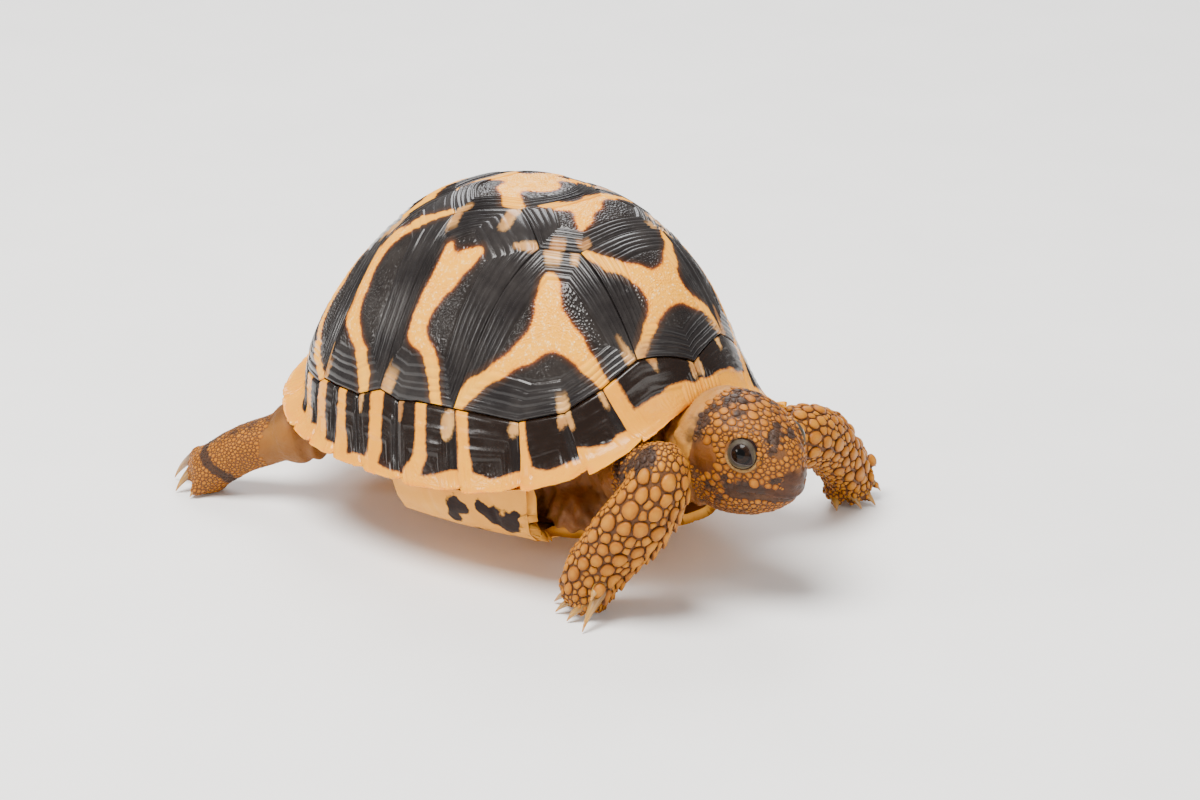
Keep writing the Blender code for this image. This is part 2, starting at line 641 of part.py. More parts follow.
def rest_on_origin():
    """Moves everything so that the origin is under the middle of the animal, on the floor."""
    bpy.context.view_layer.update()
    graph = bpy.context.evaluated_depsgraph_get()
    corners = []
    for item in bpy.data.collections[PARTS].objects:
        shown = item.evaluated_get(graph)
        mesh = shown.to_mesh()
        corners += [shown.matrix_world @ vertex.co for vertex in mesh.vertices]
        shown.to_mesh_clear()
    low = [min(corner[k] for corner in corners) for k in range(3)]
    high = [max(corner[k] for corner in corners) for k in range(3)]
    shift = Vector((-(low[0] + high[0]) / 2, -(low[1] + high[1]) / 2, -low[2]))
    for name in (PARTS, "cutters"):
        for item in bpy.data.collections[name].objects:
            item.location += shift
    print("shell middle at", [round(value / MM, 3) for value in shift])


def main():
    for item in list(bpy.data.objects):
        bpy.data.objects.remove(item, do_unlink=True)
    for name in (PARTS, "cutters"):
        bpy.context.scene.collection.children.link(bpy.data.collections.new(name))
    horn, rim_horn, belly = (0.09, 0.06, 0.04), (0.70, 0.50, 0.20), (0.72, 0.55, 0.28)
    skin, limb_skin, claw = (0.42, 0.24, 0.10), (0.62, 0.40, 0.17), (0.75, 0.66, 0.47)
    add_carapace(horn, rim_horn)
    add_plastron(belly)
    body = add_trunk(skin)
    front = [body, add_neck(body, skin)]
    add_head(skin)
    add_eyes((0.01, 0.008, 0.006))
    limbs = {
        "front_right": add_limb("leg_front_right", FRONT_RIGHT, (1, -0.3, 0.4), front, limb_skin,
                                UPPER_ARM_RIGHT),
        "front_left": add_limb("leg_front_left", FRONT_LEFT, (1, 0.3, 0.4), front, limb_skin),
        "rear_right": add_limb("leg_rear_right", REAR_RIGHT, (0, 0, 1), [body], skin),
        "rear_left": add_limb("leg_rear_left", REAR_LEFT, (1, 0, 0.2), [body], skin),
    }
    add_limb("tail", TAIL, (0, 0, 1), [body], skin)
    bpy.context.view_layer.update()
    add_claws(limbs, claw)
    rest_on_origin()


main()
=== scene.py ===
"""A young star tortoise, life size, as a museum model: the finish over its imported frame."""
import math

import bmesh
import bpy
import numpy as np
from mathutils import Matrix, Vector
from mathutils.bvhtree import BVHTree


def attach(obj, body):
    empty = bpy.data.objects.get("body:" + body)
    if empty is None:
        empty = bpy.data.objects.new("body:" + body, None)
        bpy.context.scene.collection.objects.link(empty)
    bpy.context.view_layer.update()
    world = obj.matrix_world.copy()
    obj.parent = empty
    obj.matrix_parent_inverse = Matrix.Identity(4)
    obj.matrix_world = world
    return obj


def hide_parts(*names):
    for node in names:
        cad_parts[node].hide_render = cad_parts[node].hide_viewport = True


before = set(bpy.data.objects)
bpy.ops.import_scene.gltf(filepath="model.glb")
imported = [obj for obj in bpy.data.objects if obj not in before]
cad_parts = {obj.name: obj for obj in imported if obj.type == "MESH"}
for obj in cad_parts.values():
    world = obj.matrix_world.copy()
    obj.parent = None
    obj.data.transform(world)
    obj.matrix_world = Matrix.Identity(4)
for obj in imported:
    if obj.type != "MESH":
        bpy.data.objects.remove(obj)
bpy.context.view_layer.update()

MM = 0.001
MIDDLE = np.array((-5.59, -3.998, 0.0))     # the middle of the shell in the frame, in mm
dice = np.random.default_rng(11)


# Camera, floor and light

VIEW_TURN, VIEW_RISE = math.radians(46.609), math.radians(20.147)
VIEW_PLACE, VIEW_LENS = (0.37899, -0.35201, 0.20734), 112.8       # in metres and mm
FLOOR_REACH = 3.0


def add_object(name, data):
    thing = bpy.data.objects.new(name, data)
    bpy.context.scene.collection.objects.link(thing)
    return thing


def aim(thing, place, way):
    thing.location = place
    thing.rotation_mode = "QUATERNION"
    thing.rotation_quaternion = way.to_track_quat("-Z", "Y")


def add_camera():
    turn, rise = VIEW_TURN, VIEW_RISE
    back = Vector((math.sin(turn) * math.cos(rise), -math.cos(turn) * math.cos(rise), math.sin(rise)))
    data = bpy.data.cameras.new("camera")
    data.sensor_width = 36.0
    data.lens = VIEW_LENS
    data.clip_start, data.clip_end = 0.01, 10.0
    camera = add_object("camera", data)
    aim(camera, VIEW_PLACE, -back)
    bpy.context.scene.camera = camera


def add_light(name, place, size, power, colour=(1, 1, 1)):
    data = bpy.data.lights.new(name, "AREA")
    data.shape = "DISK"
    data.size, data.energy, data.color = size, power, colour
    lamp = add_object(name, data)
    aim(lamp, place, Vector((0.0, 0.0, 0.02)) - Vector(place))


def add_studio():
    add_light("key", (0.02, -0.30, 0.80), 0.50, 16.5, (1.0, 0.98, 0.95))
    add_light("side", (-0.35, -0.75, 0.36), 0.16, 1.6, (1.0, 0.98, 0.95))
    add_light("fill", (0.80, -0.10, 0.35), 0.5, 2.6, (1.0, 0.97, 0.93))
    add_light("back", (-0.5, 0.45, 0.6), 0.5, 5.0, (0.97, 0.98, 1.0))
    world = bpy.data.worlds.new("studio")
    world.use_nodes = True
    sky = world.node_tree.nodes["Background"]
    sky.inputs["Color"].default_value = (1.0, 0.99, 0.98, 1)
    sky.inputs["Strength"].default_value = 0.50
    bpy.context.scene.world = world
    mesh = bpy.data.meshes.new("floor")
    corners = [(x * FLOOR_REACH, y * FLOOR_REACH, 0) for x, y in ((-1, -1), (1, -1), (1, 1), (-1, 1))]
    mesh.from_pydata(corners, [], [(0, 1, 2, 3)])
    floor = add_object("floor", mesh)
    finish, shader, tree = new_finish("pale floor", Roughness=0.75)
    grain = add_node(tree, "ShaderNodeTexNoise", Scale=40.0, Detail=4.0)
    tree.links.new(add_node(tree, "ShaderNodeTexCoord").outputs["Object"], grain.inputs["Vector"])
    tone = ramp(tree, grain.outputs["Fac"], [(0.3, (0.87, 0.865, 0.855)), (0.7, (0.90, 0.895, 0.885))])
    tree.links.new(tone, shader.inputs["Base Color"])
    mesh.materials.append(finish)


# Small helpers

def smoothstep(low, high, value):
    share = np.clip((value - low) / (high - low), 0.0, 1.0)
    return share * share * (3 - 2 * share)


def unit(rows):
    return rows / np.maximum(np.linalg.norm(rows, axis=-1, keepdims=True), 1e-9)


def lattice(cell, seed):
    """A random number from 0 to 1 for each whole-numbered cell."""
    cell = cell.astype(np.int64)
    mixed = cell[..., 0] * 73856093
    for axis, prime in ((1, 19349663), (2, 83492791)):
        mixed = mixed ^ (cell[..., axis] * prime)
    mixed = (mixed ^ (seed * 2654435761)) & 0xFFFFFFFF
    mixed = ((mixed ^ (mixed >> 15)) * 2246822519) & 0xFFFFFFFF
    mixed = ((mixed ^ (mixed >> 13)) * 3266489917) & 0xFFFFFFFF
    return ((mixed ^ (mixed >> 16)) & 0xFFFFF) / 0xFFFFF


def noise(points, size, seed=0):
    """Smooth noise from 0 to 1 with lumps about this size."""
    place = points / size
    base = np.floor(place)
    part = place - base
    part = part * part * (3 - 2 * part)
    total = np.zeros(len(points))
    for corner in np.ndindex(2, 2, 2):
        weight = np.prod(np.where(np.array(corner) == 1, part, 1 - part), axis=1)
        total += weight * lattice(base + np.array(corner), seed)
    return total


def cells(points, size, seed=0):
    """Distance to the nearest and the second nearest of points strewn about this far apart."""
    place = points / size
    base = np.floor(place)
    near = np.full(len(points), 9.0)
    second = np.full(len(points), 9.0)
    for step in np.ndindex(3, 3, 3):
        cell = base + np.array(step) - 1
        spot = cell + np.stack([lattice(cell, seed + k) for k in range(3)], 1) * 0.8 + 0.1
        gap = np.linalg.norm(spot - place, axis=1)
        second = np.minimum(second, np.maximum(near, gap))
        near = np.minimum(near, gap)
    return near * size, second * size


def made_mesh(maker):
    """What an object's modifiers make, as a mesh of its own."""
    return bpy.data.meshes.new_from_object(maker.evaluated_get(bpy.context.evaluated_depsgraph_get()))


def read_array(items, key, width=1, kind=float):
    """One value, or a row of them, of every item."""
    values = np.zeros(len(items) * width, kind)
    items.foreach_get(key, values)
    return values.reshape(-1, width) if width > 1 else values


def padded(values, count, fill=0.0):
    """The values in one row, followed by count times the same number."""
    return np.concatenate([np.ravel(values), np.full(count, fill)])


def new_piece(name, points, quads, tris, values, finish, stands_for=()):
    """A mesh from points in mm about the middle of the shell."""
    quads = np.asarray(quads, np.int64).reshape(-1, 4)
    tris = np.asarray(tris, np.int64).reshape(-1, 3)
    mesh = bpy.data.meshes.new(name)
    mesh.vertices.add(len(points))
    mesh.vertices.foreach_set("co", ((points + MIDDLE) * MM).astype(np.float32).ravel())
    corners = np.concatenate([quads.ravel(), tris.ravel()]).astype(np.int32)
    counts = np.concatenate([np.full(len(quads), 4), np.full(len(tris), 3)]).astype(np.int32)
    mesh.loops.add(len(corners))
    mesh.loops.foreach_set("vertex_index", corners)
    mesh.polygons.add(len(counts))
    mesh.polygons.foreach_set("loop_start", np.concatenate([[0], np.cumsum(counts)[:-1]]).astype(np.int32))
    mesh.polygons.foreach_set("loop_total", counts)
    mesh.update(calc_edges=True)
    mesh.validate()
    mesh.shade_smooth()
    for key, value in values.items():
        layer = mesh.attributes.new(key, "FLOAT", "POINT")
        layer.data.foreach_set("value", np.asarray(value, np.float32))
    piece = add_object(name, mesh)
    mesh.materials.append(finish)
    settle(piece, stands_for)
    return piece


def settle(piece, stands_for):
    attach(piece, "root")
    if stands_for:
        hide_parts(*stands_for)


# Material helpers

def new_finish(name, **settings):
    """A material with these fixed values on its main shader."""
    finish = bpy.data.materials.new(name)
    finish.use_nodes = True
    tree = finish.node_tree
    shader = tree.nodes["Principled BSDF"]
    for label, value in settings.items():
        shader.inputs[label.replace("_", " ")].default_value = value
    return finish, shader, tree


def add_node(tree, kind, **inputs):
    node = tree.nodes.new(kind)
    for name, value in inputs.items():
        node.inputs[name.replace("_", " ")].default_value = value
    return node


def feed(tree, socket, value):
    """Links the socket to another node's output, or sets its value."""
    if hasattr(value, "links"):
        tree.links.new(value, socket)
    else:
        socket.default_value = value


def ramp(tree, source, stops):
    """A colour ramp from (place, colour) pairs, placed from 0 to 1."""
    node = tree.nodes.new("ShaderNodeValToRGB")
    marks = node.color_ramp.elements
    while len(marks) < len(stops):
        marks.new(0.5)
    for mark, (place, colour) in zip(marks, stops):
        mark.position = place
        mark.color = (*colour, 1)
    tree.links.new(source, node.inputs["Fac"])
    return node.outputs["Color"]


def attribute(tree, name):
    node = tree.nodes.new("ShaderNodeAttribute")
    node.attribute_name = name
    return node.outputs["Fac"]


def maths(tree, operation, one, other=0.0, third=None, clamp=False):
    node = tree.nodes.new("ShaderNodeMath")
    node.operation = operation
    node.use_clamp = clamp
    for socket, value in zip(node.inputs, (one, other) if third is None else (one, other, third)):
        feed(tree, socket, value)
    return node.outputs[0]


def between(tree, source, low, high, to_low=0.0, to_high=1.0):
    node = tree.nodes.new("ShaderNodeMapRange")
    node.interpolation_type = "SMOOTHSTEP"
    tree.links.new(source, node.inputs["Value"])
    for name, value in zip(("From Min", "From Max", "To Min", "To Max"), (low, high, to_low, to_high)):
        node.inputs[name].default_value = value
    return node.outputs["Result"]


def blend(tree, share, one, other):
    node = tree.nodes.new("ShaderNodeMix")
    node.data_type = "RGBA"
    for name, value in (("Factor", share), ("A", one), ("B", other)):
        socket = next(s for s in node.inputs if s.name == name and s.enabled)
        feed(tree, socket, (*value, 1) if isinstance(value, tuple) else value)
    return next(s for s in node.outputs if s.enabled)


def shared_group(name, inputs, output, fill):
    """A shader group that several materials use, built the first time it is asked for."""
    if name not in bpy.data.node_groups:
        group = bpy.data.node_groups.new(name, "ShaderNodeTree")
        for label, kind, value in inputs:
            group.interface.new_socket(label, in_out="INPUT", socket_type=kind).default_value = value
        group.interface.new_socket(output[0], in_out="OUTPUT", socket_type=output[1])
        given, result = group.nodes.new("NodeGroupInput"), group.nodes.new("NodeGroupOutput")
        group.links.new(fill(group, given.outputs), result.inputs[0])
    return bpy.data.node_groups[name]


def add_group(tree, group, **inputs):
    node = tree.nodes.new("ShaderNodeGroup")
    node.node_tree = group
    for name, value in inputs.items():
        feed(tree, node.inputs[name], value)
    return node.outputs[0]


def speckle(tree, scale, detail=3.0, stretch=(1, 1, 1)):
    """Noise in the object's own space."""
    def fill(group, given):
        mapping = group.nodes.new("ShaderNodeMapping")
        group.links.new(given["Stretch"], mapping.inputs["Scale"])
        group.links.new(group.nodes.new("ShaderNodeTexCoord").outputs["Object"], mapping.inputs["Vector"])
        node = add_node(group, "ShaderNodeTexNoise", Roughness=0.6)
        for name in ("Scale", "Detail"):
            group.links.new(given[name], node.inputs[name])
        group.links.new(mapping.outputs["Vector"], node.inputs["Vector"])
        return node.outputs["Fac"]

    group = shared_group("grain", [("Scale", "NodeSocketFloat", 300.0), ("Detail", "NodeSocketFloat", 3.0),
                                   ("Stretch", "NodeSocketVector", (1, 1, 1))],
                                   ("Height", "NodeSocketFloat"), fill)
    return add_group(tree, group, Scale=scale, Detail=detail, Stretch=stretch)


def soft_edge(tree, distance, wobble):
    """From 0 inside a marking to 1 outside it, with 0.5 on its edge."""
    def fill(group, given):
        rough = between(group, speckle(group, 2300), 0.3, 0.7, -1.0, 1.0)
        reach = maths(group, "MULTIPLY_ADD", rough, given["Wobble"], given["Distance"])
        return maths(group, "MULTIPLY_ADD", reach, 0.5, 0.5, clamp=True)

    group = shared_group("soft edge",
                         [("Distance", "NodeSocketFloat", 0.0), ("Wobble", "NodeSocketFloat", 0.1)],
                         ("Share", "NodeSocketFloat"), fill)
    return add_group(tree, group, Distance=distance, Wobble=wobble)


def late_tint(tree):
    """The tan of the horn grown last, where a band fades out."""
    group = shared_group("late horn tint", [], ("Colour", "NodeSocketColor"), lambda group, given: ramp(
        group, speckle(group, 260), [(0.35, (0.62, 0.33, 0.10)), (0.65, (0.34, 0.14, 0.035))]))
    return add_group(tree, group)


def bump(tree, shader, height, strength, distance):
    node = add_node(tree, "ShaderNodeBump", Strength=strength, Distance=distance)
    tree.links.new(height, node.inputs["Height"])
    tree.links.new(node.outputs["Normal"], shader.inputs["Normal"])


# Shell surface, as in the part

HALF_LENGTH, HALF_WIDTH, WIDER_BEHIND, PLAN = 38.0, 29.5, 0.10, 2.4
TOP, CROWN_FORWARD = 50.4, 1.4
RIM_SIDE, RIM_FRONT, RIM_REAR = 14.0, 27.6, 18.8
ROUNDING, ROUNDING_AHEAD, RISE_EXPONENT = 0.65, -0.11, 2.5
FLARE, FLARE_BEARING, FLARE_SPREAD = 3.5, 37.0, 17.0
NOTCH, NOTCH_SPREAD, EDGE_FADE = 1.0, 9.0, 0.12
DRAW_IN, DRAW_BEARING, DRAW_SPREAD, DRAW_RISE = 3.4, 145.0, 35.0, 0.16
PLATE, BOSS, SEAM, RIM_WALL, RIM_LIP = 1.2, 0.5, 0.16, 1.7, 1.1


def fade(value, width):
    return np.exp(-(value / width) ** 2)


def shell_point(bearing, rise, flared=True):
    """Points of the shell's outside at bearings (radians) and rises."""
    along, across = np.cos(bearing), np.sin(bearing)
    plan = (np.abs(along) ** PLAN + np.abs(across) ** PLAN) ** (-1 / PLAN)
    lift = rise * math.pi / 2
    inward = np.maximum(np.cos(lift), 0.0) ** (ROUNDING + ROUNDING_AHEAD * along)
    rim = RIM_SIDE + (RIM_FRONT - RIM_SIDE) * np.maximum(along, 0) ** 3
    rim = rim + (RIM_REAR - RIM_SIDE) * np.maximum(-along, 0) ** 3
    turned = np.degrees(np.arctan2(np.abs(across), along))
    edge = -DRAW_IN * fade(turned - DRAW_BEARING, DRAW_SPREAD) * fade(rise - DRAW_RISE, DRAW_RISE)
    if flared:
        edge = edge + np.exp(-rise / EDGE_FADE) * (
            FLARE * fade(turned - FLARE_BEARING, FLARE_SPREAD) - NOTCH * fade(turned, NOTCH_SPREAD))
    width = HALF_WIDTH * (1 - WIDER_BEHIND * along)
    return np.stack([(HALF_LENGTH * plan * inward + edge) * along + CROWN_FORWARD * np.sin(lift),
                     (width * plan * inward + edge) * across,
                     rim + (TOP - rim) * np.maximum(np.sin(lift), 0) ** RISE_EXPONENT], -1)


def to_map(corner):
    bearing, rise = math.radians(corner[0]), corner[1]
    return np.array(((1 - rise) * math.cos(bearing), (1 - rise) * math.sin(bearing)))


def on_shell(spots, flared=True):
    spots = np.asarray(spots, float)
    reach = np.linalg.norm(spots, axis=-1)
    return shell_point(np.arctan2(spots[..., 1], spots[..., 0]), 1 - np.minimum(reach, 1.0), flared)


def shell_normal(spots):
    step = 0.004
    spots = np.asarray(spots, float)
    reach = np.linalg.norm(spots, axis=-1, keepdims=True)
    inner = spots * np.minimum(1.0, (1 - 2 * step) / np.maximum(reach, 1e-9))
    way = [on_shell(inner + np.array(move), False) for move in
           ((step, 0), (-step, 0), (0, step), (0, -step))]
    return unit(np.cross(way[0] - way[1], way[2] - way[3]))


def rim_way_out(bearing):
    step = 0.01
    along = shell_point(bearing + step, np.zeros_like(bearing), False) - shell_point(
        bearing - step, np.zeros_like(bearing), False)
    return unit(np.stack([along[..., 1], -along[..., 0], np.zeros_like(bearing)], -1))


# Corners of the plates on the left half: (bearing from the head, rise from the rim to the crown)
TOP_SEAM = [(0, 0.357), (32, 0.411), (42, 0.382), (53.5, 0.386), (71, 0.42), (88.5, 0.407),
            (102.5, 0.384), (112, 0.378), (120.5, 0.348), (131, 0.328), (147, 0.34), (165, 0.37),
            (180, 0.38)]
RIM_SEAM = [0, 24, 37.5, 51.8, 65.4, 80.7, 92.2, 102.6, 112, 120.5, 136, 161, 180]
V1_C1_RIM, V1_V2_C1, V2_C1_C2, V2_V3_C2 = (20, 0.448), (29, 0.773), (46.4, 0.796), (57, 0.92)
V3_C2_C3, V3_V4_C3, V4_C3_C4, V4_V5_C4 = (101, 0.845), (138, 0.888), (137, 0.748), (160, 0.67)
C2_C3_RIM, C3_C4_RIM = (95.2, 0.419), (118, 0.372)
VERTEBRALS = [
    ((0, 0.63), [TOP_SEAM[0], V1_C1_RIM, V1_V2_C1]),
    ((0, 0.907), [V1_V2_C1, V2_C1_C2, V2_V3_C2]),
    ((0, 0.995), [V2_V3_C2, V3_C2_C3, V3_V4_C3]),
    ((180, 0.81), [V3_V4_C3, V4_C3_C4, V4_V5_C4]),
    ((180, 0.535), [V4_V5_C4, TOP_SEAM[10], TOP_SEAM[11], TOP_SEAM[12]]),
]
COSTALS = [
    ((42.7, 0.60), [V1_C1_RIM, *TOP_SEAM[1:5], V2_C1_C2, V1_V2_C1]),
    ((86, 0.658), [TOP_SEAM[4], TOP_SEAM[5], C2_C3_RIM, V3_C2_C3, V2_V3_C2, V2_C1_C2]),
    ((117.8, 0.60), [C2_C3_RIM, *TOP_SEAM[6:8], C3_C4_RIM, V4_C3_C4, V3_V4_C3, V3_C2_C3]),
    ((139, 0.53), [C3_C4_RIM, *TOP_SEAM[8:11], V4_V5_C4, V4_C3_C4]),
]

# Yellow rays of each plate: strokes of (bearing, rise, half width in mm), on the right half for
# the costals. The late ones lie only in the newest horn, near a seam.
RAYS = {
    "vertebral_1": [[(2, 0.62, 2.2), (-3, 0.61, 2.0), (-9, 0.67, 1.2), (-19, 0.72, 0.8), (-29, 0.775, 0.7)],
                    [(3, 0.62, 2.0), (14, 0.69, 0.9), (25, 0.745, 0.7), (32, 0.77, 0.65)],
                    [(4, 0.60, 1.9), (10, 0.56, 0.8), (16, 0.525, 0.6), (20, 0.46, 0.7)],
                    [(-3, 0.60, 1.9), (-8, 0.56, 0.75), (-13, 0.52, 0.6), (-20, 0.45, 0.7)]],
    "vertebral_2": [[(-8, 0.915, 1.6), (-22, 0.93, 1.1), (-34, 0.943, 0.9), (-50, 0.95, 0.35)],
                    [(0, 0.915, 1.7), (16, 0.93, 1.1), (34, 0.913, 0.9), (47, 0.86, 0.8)],
                    [(-8, 0.91, 1.6), (-18, 0.87, 0.9), (-23, 0.845, 0.5)]],
    "vertebral_3": [[(0, 0.995, 2.2), (-90, 0.977, 1.5), (-66, 0.935, 1.1), (-57, 0.915, 0.9)],
                    [(0, 0.995, 2.0), (-172, 0.94, 1.2), (-160, 0.905, 0.9), (-140, 0.885, 0.9)],
                    [(0, 0.995, 2.0), (90, 0.975, 1.4), (62, 0.925, 0.9)],
                    [(0, 0.995, 1.8), (160, 0.93, 1.0), (142, 0.89, 0.9)],
                    [(180, 0.99, 1.8), (101, 0.93, 0.8), (101, 0.85, 0.7)]],
    "vertebral_4": [[(180, 0.82, 2.1), (-160, 0.83, 1.4), (-141, 0.82, 1.1), (-137, 0.76, 0.9)],
                    [(180, 0.82, 2.0), (157, 0.83, 1.4), (141, 0.82, 1.1), (137, 0.76, 0.9)],
                    [(180, 0.80, 1.8), (172, 0.74, 1.0), (162, 0.67, 0.8)],
                    [(180, 0.80, 1.8), (-172, 0.74, 1.0), (-162, 0.67, 0.8)]],
    "vertebral_5": [[(180, 0.56, 2.2), (170, 0.61, 1.2), (161, 0.66, 0.9)],
                    [(180, 0.56, 2.2), (-170, 0.61, 1.2), (-161, 0.66, 0.9)],
                    [(180, 0.54, 2.0), (171, 0.46, 1.1), (164, 0.38, 1.0)],
                    [(180, 0.54, 2.0), (-171, 0.46, 1.1), (-164, 0.38, 1.0)],
                    [(180, 0.54, 2.0), (180, 0.45, 1.0), (180, 0.39, 1.0)]],
    "costal_1": [[(-45, 0.62, 1.8), (-44.5, 0.66, 1.5), (-43.5, 0.70, 1.1), (-43.3, 0.715, 0.8)],
                 [(-45, 0.59, 2.4), (-51, 0.555, 1.5), (-59, 0.515, 0.95), (-66, 0.475, 1.0),
                  (-70, 0.43, 1.2)],
                 [(-43, 0.59, 2.5), (-38.5, 0.55, 1.5), (-34.5, 0.487, 0.95), (-31, 0.42, 0.85)]],
    "costal_2": [[(-84, 0.69, 1.8), (-85.5, 0.73, 1.1), (-88.5, 0.765, 0.65)],
                 [(-82, 0.70, 1.8), (-77, 0.745, 1.3), (-72.8, 0.77, 0.8)],
                 [(-84, 0.69, 2.0), (-86.5, 0.645, 1.6), (-88, 0.60, 1.25), (-87.5, 0.56, 1.4)],
                 [(-87.5, 0.565, 1.2), (-81.5, 0.53, 0.8), (-79, 0.50, 0.85), (-76, 0.42, 1.05)]],
    "costal_3": [[(-104, 0.85, 0.6), (-117, 0.787, 0.8), (-124, 0.725, 1.0), (-124, 0.665, 1.15)],
                 [(-124, 0.67, 1.2), (-120, 0.605, 1.3), (-116.7, 0.54, 1.4), (-112, 0.515, 1.0)],
                 [(-112, 0.515, 0.9), (-106, 0.48, 0.85), (-102.5, 0.44, 0.95), (-100, 0.385, 1.0)]],
    "costal_4": [[(-141, 0.56, 1.6), (-146, 0.62, 1.0), (-150, 0.68, 0.8)],
                 [(-141, 0.55, 1.6), (-136, 0.46, 1.1), (-128, 0.41, 0.9), (-119.5, 0.37, 0.9)],
                 [(-143, 0.54, 1.5), (-150, 0.46, 1.0), (-158, 0.38, 1.0)]],
}
LATE_RAYS = {
    "vertebral_1": [[(20, 0.45, 0.9), (14, 0.50, 0.6)], [(-20, 0.45, 0.9), (-14, 0.50, 0.6)]],
    "vertebral_2": [[(-39, 0.79, 1.2), (-36, 0.83, 0.9)], [(-26, 0.795, 1.0), (-25, 0.835, 0.8)],
                    [(39, 0.79, 1.2), (36, 0.83, 0.9)], [(26, 0.795, 1.0), (25, 0.835, 0.8)]],
    "vertebral_3": [[(99, 0.85, 1.0), (97, 0.88, 0.7)], [(-99, 0.85, 1.0), (-97, 0.88, 0.7)]],
    "vertebral_4": [[(149, 0.70, 1.0), (152, 0.74, 0.7)], [(-149, 0.70, 1.0), (-152, 0.74, 0.7)]],
    "vertebral_5": [[(148, 0.35, 1.0), (155, 0.42, 0.6)], [(-148, 0.35, 1.0), (-155, 0.42, 0.6)]],
    "costal_1": [[(-22, 0.45, 0.8), (-25, 0.53, 0.5)], [(-41, 0.785, 1.3), (-41.5, 0.755, 1.1)],
                 [(-31, 0.78, 0.7), (-33, 0.745, 0.5)], [(-42, 0.385, 1.0), (-42.5, 0.44, 0.8)]],
    "costal_2": [[(-98, 0.84, 1.1), (-92, 0.79, 0.8)], [(-61, 0.905, 1.1), (-64, 0.85, 1.0)],
                 [(-49, 0.80, 1.0), (-56, 0.80, 0.6)], [(-93, 0.43, 1.3), (-92, 0.49, 1.1)]],
    "costal_3": [[(-118, 0.385, 0.9), (-118.5, 0.44, 0.8), (-118, 0.475, 0.6)],
                 [(-136, 0.76, 0.9), (-132, 0.72, 0.6)]],
    "costal_4": [[(-136, 0.73, 0.9), (-138, 0.67, 0.6)], [(-135, 0.34, 0.9), (-136, 0.40, 0.6)]],
}
AREOLA = 0.57           # share of the way to the seams where the pebbled horn of the hatchling ends
PLATE_ROUND, PLATE_RINGS = 264, 96
GRAIN = 0.42            # distance between the pebbles of an areola
RIDGE_WAY = np.linspace(0, 1, 400)      # from the areola out to the seam


def mirrored(corners):
    return [(-bearing, rise) for bearing, rise in reversed(corners) if bearing not in (0, 180)]


def to_strokes(points, strokes):
    """Signed distance, in mm, from points to the nearest of tapering strokes. Negative is inside."""
    total = np.zeros(len(points))
    softness = 0.55
    for stroke in strokes:
        spots = on_shell(np.array([to_map(row[:2]) for row in stroke]))
        widths = [row[2] for row in stroke]
        for k in range(len(stroke) - 1):
            line = spots[k + 1] - spots[k]
            share = np.clip((points - spots[k]) @ line / max(line @ line, 1e-9), 0, 1)
            gap = np.linalg.norm(points - spots[k] - share[:, None] * line, axis=1)
            gap = gap - (widths[k] + share * (widths[k + 1] - widths[k]))
            total += np.exp(-np.clip(gap, -4, 12) / softness)
    return -softness * np.log(total + 1e-9)


def outline(corners, count):
    """Points evenly spaced round a plate's edge on the map, the corners among them."""
    spots = np.array([to_map(corner) for corner in corners])
    ends = np.roll(spots, -1, axis=0)
    sizes = np.linalg.norm(on_shell(ends) - on_shell(spots), axis=1)
    steps = np.maximum(4, np.round(sizes / sizes.sum() * count)).astype(int)
    steps[np.argmax(steps)] += count - steps.sum()
    return np.concatenate([start + (end - start) * (np.arange(n) / n)[:, None]
                           for start, end, n in zip(spots, ends, steps)])


def ridge_profile(seed):
    """Height of the growth ridges from the areola out to the seam."""
    roll = np.random.default_rng(seed)
    height = np.zeros(len(RIDGE_WAY))
    place = 0.03
    while place < 0.97:
        width = roll.uniform(0.11, 0.24)
        rise = roll.uniform(0.14, 0.30)
        near = (RIDGE_WAY - place) / width
        inside = (near > 0) & (near < 1)
        height += np.where(inside, rise * np.sin(np.clip(near, 0, 1) * math.pi) ** 0.6, 0)
        place += width * roll.uniform(0.95, 1.1)
    return height


